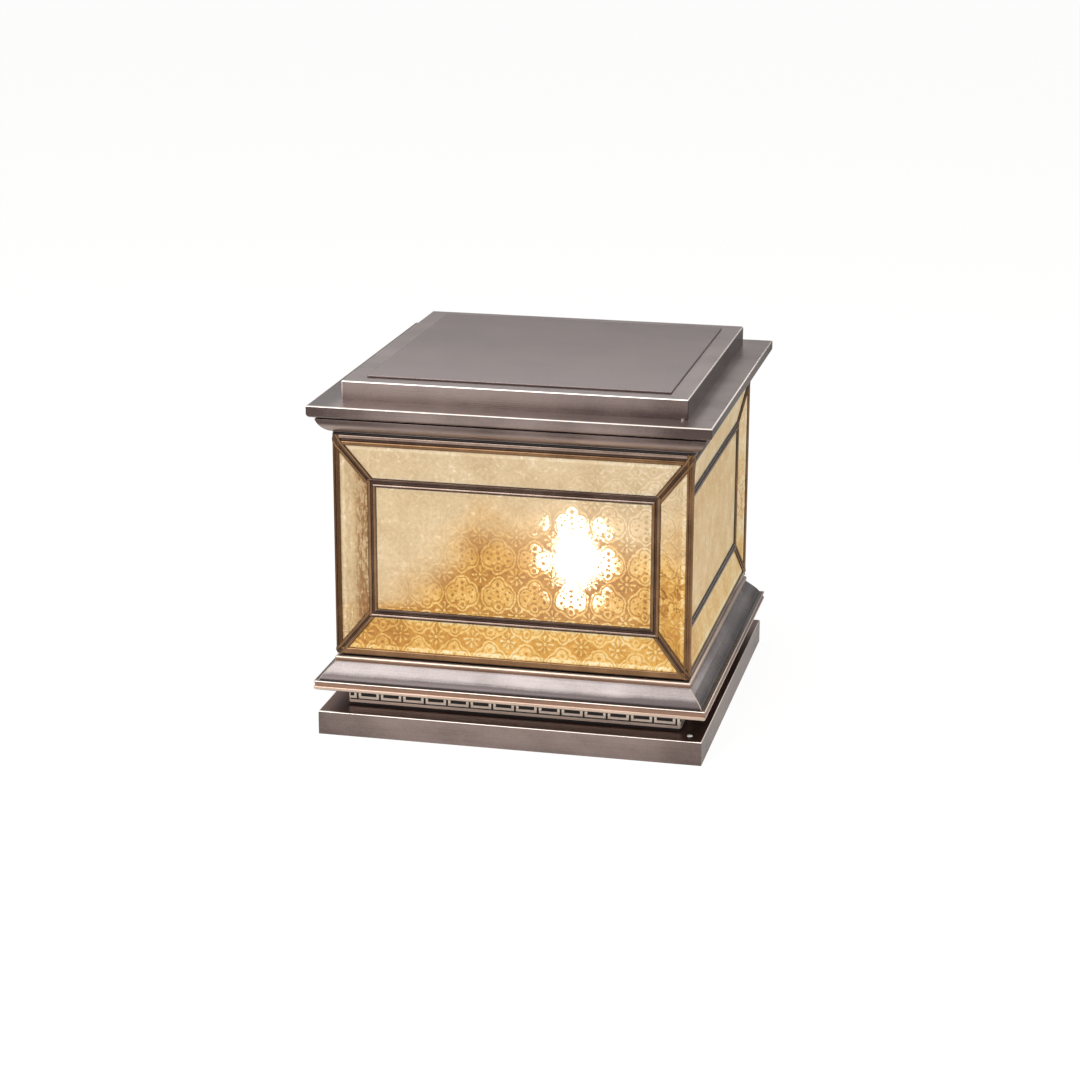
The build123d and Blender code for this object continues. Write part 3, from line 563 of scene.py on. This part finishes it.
# Middle of the glow painted on the front centre pane
GLOW = (47.7, 146.6)
glass = {
    "front_centre": figured_glass("amber_glass_painted_glow", CENTRE_FLORET, CENTRE_RIMS, lift=-0.06, lamp=GLOW),
    "centre": figured_glass("amber_glass_centre", CENTRE_FLORET, CENTRE_RIMS, lift=-0.06),
    "bottom": figured_glass("amber_glass_bottom", (-2.6, 79.5), BOTTOM_RIMS, lift=0.11, clear=0.68),
    "top": figured_glass("amber_glass_top", (9.0, 211.0), TOP_RIMS),
    "left": figured_glass("amber_glass_left", (14.0, 139.0), SIDE_RIMS, lift=-0.24, clear=0.4, streaked=True),
    "right": figured_glass("amber_glass_right", (13.3, 131.0), SIDE_RIMS, lift=-0.04, clear=0.4, veined=True),
}


def dress(node, material):
    """Gives a CAD node its finish where its shape stays."""
    node_object = frame["nodes"][node]
    node_object.data.materials.clear()
    node_object.data.materials.append(material)


def piece_from(work, name, crease, finish_names):
    """New object from a finished bmesh, smooth except where faces meet at more than the crease angle."""
    for face in work.faces:
        face.smooth = True
    mesh = bpy.data.meshes.new(name)
    work.to_mesh(mesh)
    work.free()
    mesh.set_sharp_from_angle(angle=math.radians(crease))
    for finish_name in finish_names:
        mesh.materials.append(finishes[finish_name])
    piece = bpy.data.objects.new(name, mesh)
    bpy.context.collection.objects.link(piece)
    return piece


# Distances in metres within which points are one, and within which mitred lengths meet
SAME_POINT = 1e-6
MITRE_GAP = 2e-5
# Angles in degrees below which neighbouring faces are made one, and above which an edge is rounded
FLAT_ANGLE = 0.4
SHARP_ANGLE = 25.0
# Material places of an edged piece, the second with the painted edge highlight, and the bevel's own number
# for keeping what was there
BODY, EDGE_HIGHLIGHT, TOP = 0, 1, 2
AS_BEFORE = -1


def edged(
    node, width, segments=2, shortest=0.0, wear_highlight=True, joined=False, plain_uprights=False, above=-1.0,
    loose=False, plain_right=False, tops=None, body=None,
):
    """Copy of a node with its outer edges rounded, a painted highlight along them that also stands for wear.

    Only edges longer than shortest that reach over the level above are rounded, both in millimetres. joined
    closes a ring of mitred lengths into one, plain_uprights keeps the painted highlight off the upright
    edges, plain_right keeps it off the faces on the right, and loose lets edges round over short neighbours.
    tops is the finish of the faces that look up, and body that of the rest.
    """
    work = bmesh.new()
    work.from_mesh(frame["nodes"][node].data)
    bmesh.ops.remove_doubles(work, verts=work.verts[:], dist=SAME_POINT)
    bmesh.ops.dissolve_limit(
        work, angle_limit=math.radians(FLAT_ANGLE), verts=work.verts[:], edges=work.edges[:],
        delimit={"NORMAL"},
    )
    if joined:
        meeting = [
            face
            for face in work.faces
            if abs(face.normal.z) < 0.01
            and abs(abs(face.normal.x) - abs(face.normal.y)) < 0.01
            and all(abs(abs(vert.co.x) - abs(vert.co.y)) < MITRE_GAP for vert in face.verts)
        ]
        bmesh.ops.delete(work, geom=meeting, context="FACES")
        bmesh.ops.remove_doubles(work, verts=work.verts[:], dist=MITRE_GAP)

    def upright(edge):
        start, end = (vert.co for vert in edge.verts)
        return abs(end.z - start.z) > 0.99 * edge.calc_length()

    def outer(upright_edges):
        return [
            edge
            for edge in work.edges
            if len(edge.link_faces) == 2
            and edge.calc_face_angle_signed(0.0) > math.radians(SHARP_ANGLE)
            and edge.calc_length() > shortest * MM
            and upright(edge) in upright_edges
            and max(vert.co.z for vert in edge.verts) > above * MM
        ]

    def round_off(edges, material):
        bmesh.ops.bevel(
            work, geom=edges, offset=width * MM, offset_type="OFFSET", segments=segments, profile=0.5,
            affect="EDGES", clamp_overlap=not (joined or loose), material=material,
        )

    edge_finish = EDGE_HIGHLIGHT if wear_highlight else AS_BEFORE
    if plain_uprights:
        round_off(outer((True,)), AS_BEFORE)
        round_off(outer((False,)), edge_finish)
    else:
        round_off(outer((True, False)), edge_finish)
    for face in work.faces:
        if tops and face.normal.z > 0.99:
            face.material_index = TOP
        if plain_right and abs(face.normal.z) < 0.2 and face.calc_center_median().x > 0.0:
            face.material_index = BODY
    slot = SLOT_OF[node]
    main = body or slot
    piece = piece_from(work, f"{node}_edged", 35.0, (main, "bronze_wear_highlight" if wear_highlight else main, tops or main))
    weighted = piece.modifiers.new("weighted", "WEIGHTED_NORMAL")
    weighted.keep_sharp = True
    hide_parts(node)
    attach(piece, BODY_OF[node])


PLINTH_FINISHES = ("bronze_plinth", "bronze_lip", "bronze_painted_shade", "bronze_rub_highlight", "bronze_wear_highlight")
SHEET, LIP, SHADED, RUB_HIGHLIGHT, WEAR_HIGHLIGHT = range(len(PLINTH_FINISHES))


def plinth_section():
    """Section of the plinth moulding as (half width, level), and the finish from each point to the next."""
    section = [(FLANGE_HALF, PLINTH_TOP)]
    paint = [SHEET]

    def add(point, finish):
        section.append(tuple(point))
        paint.append(finish)

    def arc(half, level, radius, first, last, steps, finishes_along):
        for step in range(steps + 1):
            turn = math.radians(first + (last - first) * step / steps)
            finish = finishes_along[min(step, steps - 1) * len(finishes_along) // steps]
            add((half + radius * math.cos(turn), level + radius * math.sin(turn)), finish)

    # Rolled nosing under the lantern, a painted highlight on its upper part
    nose_half = FILLET_HALF + NOSE_PROUD - NOSE_RADIUS
    arc(nose_half, PLINTH_TOP - NOSE_RADIUS, NOSE_RADIUS, 90.0, -25.0, 12, (RUB_HIGHLIGHT, RUB_HIGHLIGHT, LIP))
    # From under the nosing the curve slopes straight, then turns down to the ledge
    slope_top = Vector((FILLET_HALF, PLINTH_TOP - NOSE_DROP))
    slope_foot = slope_top + Vector((SLOPE_STRAIGHT, -SLOPE_STRAIGHT))
    bend = slope_top + Vector((1.0, -1.0)) * (LEDGE_HALF - FILLET_HALF)
    ledge = Vector((LEDGE_HALF, LEDGE_LEVEL))
    add(slope_top, SHEET)
    curve_steps = 12
    for step in range(curve_steps + 1):
        share = step / curve_steps
        add(slope_foot.lerp(bend, share).lerp(bend.lerp(ledge, share), share), SHEET)
    # Lip with a painted highlight on its arris that also stands for wear, a fascia, and a bead along its foot
    # with a painted highlight on it and painted shade under it
    arris_half = LIP_HALF - ARRIS_RADIUS
    add((arris_half, LEDGE_LEVEL), SHADED)
    arc(arris_half, LEDGE_LEVEL - ARRIS_RADIUS, ARRIS_RADIUS, 75.0, 0.0, 3, (WEAR_HIGHLIGHT, WEAR_HIGHLIGHT, LIP))
    add((LIP_HALF - FASCIA_BACK, LEDGE_LEVEL - FASCIA_DROP), LIP)
    bead_half, bead_level = LIP_HALF - BEAD_RADIUS, LIP_LOW + BEAD_RADIUS
    arc(bead_half, bead_level, BEAD_RADIUS, 60.0, -60.0, 8, (LIP, RUB_HIGHLIGHT, RUB_HIGHLIGHT, RUB_HIGHLIGHT))
    paint[-1] = SHADED
    # Back of the sheet
    for point in (
        (LIP_HALF - LIP_WALL, LIP_LOW),
        (LIP_HALF - LIP_WALL, LEDGE_LEVEL - MOULDING_SHEET),
        (LEDGE_HALF - MOULDING_SHEET, LEDGE_LEVEL - MOULDING_SHEET),
        (FILLET_HALF - MOULDING_SHEET, PLINTH_TOP - NOSE_DROP - MOULDING_SHEET),
        (FILLET_HALF - MOULDING_SHEET, PLINTH_TOP - MOULDING_SHEET),
        (FLANGE_HALF, PLINTH_TOP - MOULDING_SHEET),
    ):
        add(point, SHADED)
    return section, paint


def plinth_ring():
    """Plinth moulding as one mitred ring, with a painted highlight on a narrow flat along each mitre."""
    section, paint = plinth_section()
    work = bmesh.new()
    rings = []
    for half, level in section:
        cut = half - MITRE_FLAT
        corners = [
            (-half, -cut), (-cut, -half), (cut, -half), (half, -cut),
            (half, cut), (cut, half), (-cut, half), (-half, cut),
        ]
        rings.append([work.verts.new((x * MM, y * MM, level * MM)) for x, y in corners])
    for index, ring in enumerate(rings):
        following = rings[(index + 1) % len(rings)]
        for corner in range(len(ring)):
            turned = (corner + 1) % len(ring)
            face = work.faces.new([ring[corner], ring[turned], following[turned], following[corner]])
            on_mitre = corner % 2 == 0
            face.material_index = RUB_HIGHLIGHT if on_mitre and paint[index] == SHEET else paint[index]
    bmesh.ops.recalc_face_normals(work, faces=work.faces[:])
    piece = piece_from(work, "plinth_ring", 30.0, PLINTH_FINISHES)
    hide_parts("plinth_moulding")
    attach(piece, BODY_OF["plinth_moulding"])


# Leaded sides in millimetres: u runs along a side, v up it and w in from its face
FRAME_MIDDLE = (FRAME_LOW + FRAME_HIGH) / 2
RECESS = 4.5
CAME_WIDTH = 6.8
CAME_DEPTH = 4.4
GROOVE_HALF = 0.65
GROOVE_DEPTH = 1.2
BEAD_STEPS = 10
COPE = 0.7
PROUD = 0.3
CAME_FINISHES = ("came_bronze", "came_painted_shade", "came_painted_highlight")
BROWN, PAINTED_SHADE, PAINTED_HIGHLIGHT = range(len(CAME_FINISHES))


def bead_section(width, grooved=True):
    """Half of a came's section from its middle out over one bead and back, as (across, in)."""
    half = width / 2
    back = [(half, CAME_DEPTH), (0.0, CAME_DEPTH)]
    if not grooved:
        section = [(0.0, 0.0)]
        for step in range(BEAD_STEPS + 2):
            turn = math.pi / 2 * step / (BEAD_STEPS + 1)
            across = half - GROOVE_DEPTH + GROOVE_DEPTH * math.sin(turn)
            section.append((across, GROOVE_DEPTH - GROOVE_DEPTH * math.cos(turn)))
        return section + back
    radius = (half - GROOVE_HALF) / 2
    rise = min(radius, 0.95 * GROOVE_DEPTH)
    section = [(0.0, GROOVE_DEPTH), (GROOVE_HALF, GROOVE_DEPTH)]
    for step in range(BEAD_STEPS + 1):
        turn = math.pi * (1.0 - step / BEAD_STEPS)
        section.append((half - radius + radius * math.cos(turn), rise - rise * math.sin(turn)))
    return section + back


# Finishes of the strips of one bead, from the groove out: painted shade in the groove, along the bead's edges
# and on its back, and painted highlights along some crowns
SHADED_FLANK = [PAINTED_SHADE, PAINTED_SHADE]
BEAD_BROWN = SHADED_FLANK + [PAINTED_SHADE] + [BROWN] * (BEAD_STEPS - 3) + [PAINTED_SHADE, PAINTED_SHADE] + SHADED_FLANK
BEAD_PAINTED_SHADE = SHADED_FLANK + [PAINTED_SHADE] * BEAD_STEPS + SHADED_FLANK
BEAD_CROWN_HIGHLIGHT = SHADED_FLANK + [PAINTED_SHADE] * 2 + [PAINTED_HIGHLIGHT] * 3 + [PAINTED_SHADE] * (BEAD_STEPS - 5) + SHADED_FLANK
BEAD_LINE_HIGHLIGHT = SHADED_FLANK + [PAINTED_SHADE] * 3 + [PAINTED_HIGHLIGHT] * 4 + [PAINTED_SHADE] * (BEAD_STEPS - 7) + SHADED_FLANK
BEAD_FLAT = [BROWN] * (BEAD_STEPS + 2) + SHADED_FLANK


def leaded_bars(side, turn):
    """Came bars of one side as round twin beads: two rails, four mitred frame bars and four mitre bars."""
    work = bmesh.new()

    def place(u, v, w):
        y = w - LANTERN_HALF
        x_turned = u * math.cos(turn) - y * math.sin(turn)
        y_turned = u * math.sin(turn) + y * math.cos(turn)
        return x_turned * MM, y_turned * MM, v * MM

    def bar(start, end, width, stops, paint, grooved=True):
        """One bar between two points; stops are each half's end planes and paint its strips' finishes."""
        axis = Vector(end) - Vector(start)
        run = Vector((axis.x, axis.y))
        across = Vector((-run.y, run.x)).normalized()
        for half, sign in enumerate((-1.0, 1.0)):
            rings = []
            for point, normal in stops[half]:
                ring = []
                for offset, depth in bead_section(width, grooved):
                    shift = across * (offset * sign)
                    foot = Vector(start[:2]) + shift
                    share = (Vector(point) - foot).dot(Vector(normal)) / run.dot(Vector(normal))
                    spot = Vector(start) + axis * share
                    ring.append(work.verts.new(place(spot.x + shift.x, spot.y + shift.y, spot.z + depth)))
                rings.append(ring)
            for step in range(len(rings[0]) - 1):
                corners = [rings[0][step], rings[0][step + 1], rings[1][step + 1], rings[1][step]]
                work.faces.new(corners).material_index = paint[half][step]
            for ring in rings:
                work.faces.new(ring).material_index = PAINTED_SHADE

    def rail(low, high, paint, grooved):
        level = (low + high) / 2
        ends = [((-FIELD_HALF, 0.0), (1.0, 0.0)), ((FIELD_HALF, 0.0), (1.0, 0.0))]
        bar((-FIELD_HALF, level, 0.0), (FIELD_HALF, level, 0.0), high - low, [ends, ends], paint, grooved)

    def around(half, low, high):
        return [(-half, low), (half, low), (half, high), (-half, high)]

    def set_in(corner):
        """Middle of the came at a corner of the inner frame."""
        half = CAME_WIDTH / 2
        middle = (0.0, FRAME_MIDDLE)
        return [edge - math.copysign(half, edge - centre) for edge, centre in zip(corner, middle)]

    rail(LANTERN_LOW, FIELD_LOW, (BEAD_FLAT, BEAD_FLAT), False)
    rail(FIELD_HIGH, LANTERN_HIGH, (BEAD_BROWN, BEAD_LINE_HIGHLIGHT), True)
    inner = around(FRAME_HALF, FRAME_LOW, FRAME_HIGH)
    outer = around(FIELD_HALF, FIELD_LOW, FIELD_HIGH)
    upright = (BEAD_BROWN, BEAD_BROWN)
    # Painted highlight along one bead and painted shade along the other on the frame's foot and head
    frame_paint = ((BEAD_CROWN_HIGHLIGHT, BEAD_PAINTED_SHADE), upright, (BEAD_PAINTED_SHADE, BEAD_CROWN_HIGHLIGHT), upright)
    for corner, following, paint in zip(inner, inner[1:] + inner[:1], frame_paint):
        start, end = set_in(corner), set_in(following)
        slope = math.copysign(1.0, (corner[0] - start[0]) * (corner[1] - start[1]))
        ends = [(corner, (1.0, -slope)), (following, (1.0, slope))]
        bar((*start, RECESS), (*end, RECESS), CAME_WIDTH, [ends, ends], paint)
    for far, near in zip(outer, inner):
        sideward = math.copysign(1.0, far[0])
        upward = math.copysign(1.0, far[1] - near[1])
        tip_level = LANTERN_HIGH - PROUD if upward > 0 else LANTERN_LOW + PROUD
        tip = (LANTERN_HALF - PROUD) * sideward, tip_level
        inward = (Vector(far) - Vector(near)).normalized()
        outward = (Vector(tip) - Vector(far)).normalized()
        bend = (far, tuple(inward + outward))
        by_post = [bend, ((near[0] - COPE * sideward, 0.0), (1.0, 0.0))]
        by_rail = [bend, ((0.0, near[1] - COPE * upward), (0.0, 1.0))]
        past_post = [((tip[0], 0.0), (1.0, 0.0)), bend]
        past_rail = [((0.0, tip[1]), (0.0, 1.0)), bend]
        ends = [(by_rail, by_post), (past_rail, past_post)]
        if sideward * upward < 0:
            ends = [pair[::-1] for pair in ends]
        bar((*far, -PROUD), (*near, RECESS), CAME_WIDTH, ends[0], upright)
        # The bar runs on over the post and the rail to the corner of the lantern
        bar((*tip, -PROUD), (*far, -PROUD), CAME_WIDTH, ends[1], upright)

    bmesh.ops.remove_doubles(work, verts=work.verts[:], dist=SAME_POINT)
    bmesh.ops.recalc_face_normals(work, faces=work.faces[:])
    piece = piece_from(work, f"{side}_came_beads", 35.0, CAME_FINISHES)
    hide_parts(f"{side}_came")
    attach(piece, "body")


for node in frame["nodes"]:
    slot = SLOT_OF[node]
    if slot == "amber_glass":
        pane = node.removesuffix("_pane")
        dress(node, glass.get(pane) or glass[pane.split("_")[1]])
    else:
        dress(node, finishes[slot])

# The base's top under the plinth takes the painted shade
edged(
    "base_tray", 0.7, shortest=100.0, plain_uprights=True, above=BASE_TOP - 0.1, loose=True,
    tops="bronze_painted_shade",
)
edged("solar_housing", 0.9, shortest=10.0, above=HOUSING_LOW + 4.0, plain_right=True, body="bronze_housing")
edged("roof_slab", 0.9, shortest=10.0, plain_uprights=True, body="bronze_slab")
plinth_ring()
edged("crown_moulding", 0.4, shortest=100.0, wear_highlight=False, joined=True, body="bronze_crown")
edged("panel_cover", 0.5, wear_highlight=False)
for index, side in enumerate(SIDES):
    leaded_bars(side, math.pi / 2 * index)
for corner in CORNERS:
    edged(f"{corner}_post", 0.9, segments=4, shortest=12.0, wear_highlight=False, body="post_bronze")

# Anchor screws as (radius, height over the base), in millimetres
FIXING = 136.0
SHANK = [(0.0, -14.0), (1.2, -12.0), (1.9, -10.0), (2.2, -1.0), (2.2, 0.0)]
WASHER = [(3.1, 0.0), (3.1, 0.2), (2.1, 0.22)]
CAP = [(2.0, 0.6), (1.5, 0.85), (0.8, 0.97), (0.0, 1.0)]
SCREW_STEPS = 28


def base_screw(name, x, y, level):
    """Small pale cap on a dark washer, over an anchor screw in a fixing hole of the base."""
    work = bmesh.new()
    rings = []
    for radius, height in SHANK + WASHER + CAP:
        ring = []
        for step in range(SCREW_STEPS if radius else 1):
            turn = 2.0 * math.pi * step / SCREW_STEPS
            spot = (x + radius * math.cos(turn), y + radius * math.sin(turn), level + height)
            ring.append(work.verts.new([place * MM for place in spot]))
        rings.append(ring)
    washer_rings = range(len(SHANK), len(SHANK) + len(WASHER))
    for index, (low, high) in enumerate(zip(rings, rings[1:]), start=1):
        for step in range(SCREW_STEPS):
            turned = (step + 1) % SCREW_STEPS
            corners = [
                low[step % len(low)], low[turned % len(low)],
                high[turned % len(high)], high[step % len(high)],
            ]
            work.faces.new(list(dict.fromkeys(corners))).material_index = int(index in washer_rings)
    bmesh.ops.recalc_face_normals(work, faces=work.faces[:])
    screw = piece_from(work, name, 40.0, ("white_plastic", "dark_sheet"))
    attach(screw, "body")


base_screw("base_screw_front", FIXING, -FIXING, BASE_TOP)
base_screw("base_screw_back", -FIXING, FIXING, BASE_TOP)

# Studio in metres
FLOOR_REACH = 12.0
FLOOR_COLOUR = (0.9, 0.885, 0.86)
FLOOR_GLOW = 1.05
FLOOR_SEEN = 0.85


def lay_floor():
    """Pale floor that the camera sees nearly white; metal sees it fall off into shade behind the light."""
    mesh = bpy.data.meshes.new("floor")
    reach = FLOOR_REACH
    mesh.from_pydata(
        [(-reach, -reach, 0), (reach, -reach, 0), (reach, reach, 0), (-reach, reach, 0)], [], [(0, 1, 2, 3)]
    )
    floor = bpy.data.objects.new("floor", mesh)
    bpy.context.collection.objects.link(floor)
    paint = bpy.data.materials.new("floor")
    paint.use_nodes = True
    tree = paint.node_tree
    tree.nodes.remove(tree.nodes["Principled BSDF"])
    path = tree.nodes.new("ShaderNodeLightPath")
    spot = tree.nodes.new("ShaderNodeTexCoord")
    parts = tree.nodes.new("ShaderNodeSeparateXYZ")
    tree.links.new(spot.outputs["Object"], parts.inputs[0])
    behind = Field(tree, parts.outputs[1]).over(0.05, 0.6)
    shade = 1.0 - behind * Field(tree, path.outputs["Is Glossy Ray"]) * 0.55
    pale = tree.nodes.new("ShaderNodeCombineColor")
    for socket, level in zip(pale.inputs, FLOOR_COLOUR):
        connect(tree, shade * level, socket)
    matt = tree.nodes.new("ShaderNodeBsdfDiffuse")
    tree.links.new(pale.outputs[0], matt.inputs["Color"])
    glow = tree.nodes.new("ShaderNodeEmission")
    glow.inputs["Strength"].default_value = FLOOR_GLOW
    mix = tree.nodes.new("ShaderNodeMixShader")
    connect(tree, Field(tree, path.outputs["Is Camera Ray"]) * FLOOR_SEEN, mix.inputs["Fac"])
    tree.links.new(matt.outputs[0], mix.inputs[1])
    tree.links.new(glow.outputs[0], mix.inputs[2])
    tree.links.new(mix.outputs[0], tree.nodes["Material Output"].inputs["Surface"])
    mesh.materials.append(paint)


def surround():
    """White surround, dimmer low behind the light and in a band in front, as the walls of a studio are."""
    world = bpy.data.worlds.new("studio")
    bpy.context.scene.world = world
    world.use_nodes = True
    tree = world.node_tree
    path = tree.nodes.new("ShaderNodeLightPath")
    direction = tree.nodes.new("ShaderNodeTexCoord")
    split = tree.nodes.new("ShaderNodeSeparateXYZ")
    tree.links.new(direction.outputs["Generated"], split.inputs[0])
    east, north, height = (Field(tree, socket) for socket in split.outputs)

    def ray(kind):
        return Field(tree, path.outputs[f"Is {kind} Ray"])

    low = height.over(0.62, 0.12) * (north + east * 0.4).over(-0.1, 0.5)
    band = height.over(-0.02, 0.06) * height.over(0.62, 0.3) * north.over(0.2, -0.2)
    mirrored = (1.0 - low * 0.68) * (1.0 - band * 0.6)
    seen = most(ray("Camera"), ray("Transmission"))
    level = ray("Diffuse") * (0.46 + east.over(0.0, 0.9) * 0.65)
    strength = most(level + ray("Glossy") * mirrored * (1.0 - seen), seen)
    background = tree.nodes["Background"]
    connect(tree, strength, background.inputs["Strength"])
    background.inputs["Color"].default_value = (1.0, 1.0, 1.0, 1.0)


def softbox(name, place, target, wide, high, radiance):
    """Rectangular soft light of a given brightness, aimed at a point and hidden from the camera."""
    light = bpy.data.lights.new(name, "AREA")
    light.shape = "RECTANGLE"
    light.size = wide
    light.size_y = high
    light.energy = radiance * math.pi * wide * high
    lamp = bpy.data.objects.new(name, light)
    lamp.location = place
    lamp.rotation_euler = (Vector(target) - Vector(place)).to_track_quat("-Z", "Y").to_euler()
    lamp.visible_camera = False
    bpy.context.collection.objects.link(lamp)


# Camera fitted to the photograph's square frame: degrees, millimetres of lens, and metres
CAMERA_ANGLES = (12.86, 16.645, 0.162)
CAMERA_LENS = 88.21
CAMERA_SENSOR = 36.0
CAMERA_DISTANCE = 2.0755
AIM_SIDEWAYS = -0.008424
AIM_HEIGHT = 0.12043


def camera():
    """Camera at the photograph's viewing angle."""
    azimuth, elevation, roll = (math.radians(angle) for angle in CAMERA_ANGLES)
    level = Vector((math.cos(azimuth), math.sin(azimuth), 0.0))
    run = math.cos(elevation)
    ahead = Vector((-math.sin(azimuth) * run, math.cos(azimuth) * run, -math.sin(elevation)))
    above = level.cross(ahead)
    right = level * math.cos(roll) + above * math.sin(roll)
    up = above * math.cos(roll) - level * math.sin(roll)
    target = level * AIM_SIDEWAYS + Vector((0.0, 0.0, AIM_HEIGHT))
    lens = bpy.data.cameras.new("camera")
    lens.sensor_width = CAMERA_SENSOR
    lens.lens = CAMERA_LENS
    lens.clip_start = 0.05
    lens.clip_end = 60.0
    view = bpy.data.objects.new("camera", lens)
    turn = Matrix((right, up, -ahead)).transposed().to_4x4()
    view.matrix_world = Matrix.Translation(target - ahead * CAMERA_DISTANCE) @ turn
    bpy.context.collection.objects.link(view)
    bpy.context.scene.camera = view


lay_floor()
surround()
softbox("key", (-1.1, -1.7, 1.35), (0.0, 0.0, 0.1), 1.6, 1.2, 4.2)
softbox("overhead", (0.0, -0.75, 2.1), (0.0, 0.0, 0.1), 2.4, 1.5, 2.3)
softbox("back_strip", (0.0, 0.62, 0.56), (0.0, -0.1, 0.27), 1.3, 0.16, 1.0)
camera()
bpy.context.scene.view_settings.view_transform = "Standard"
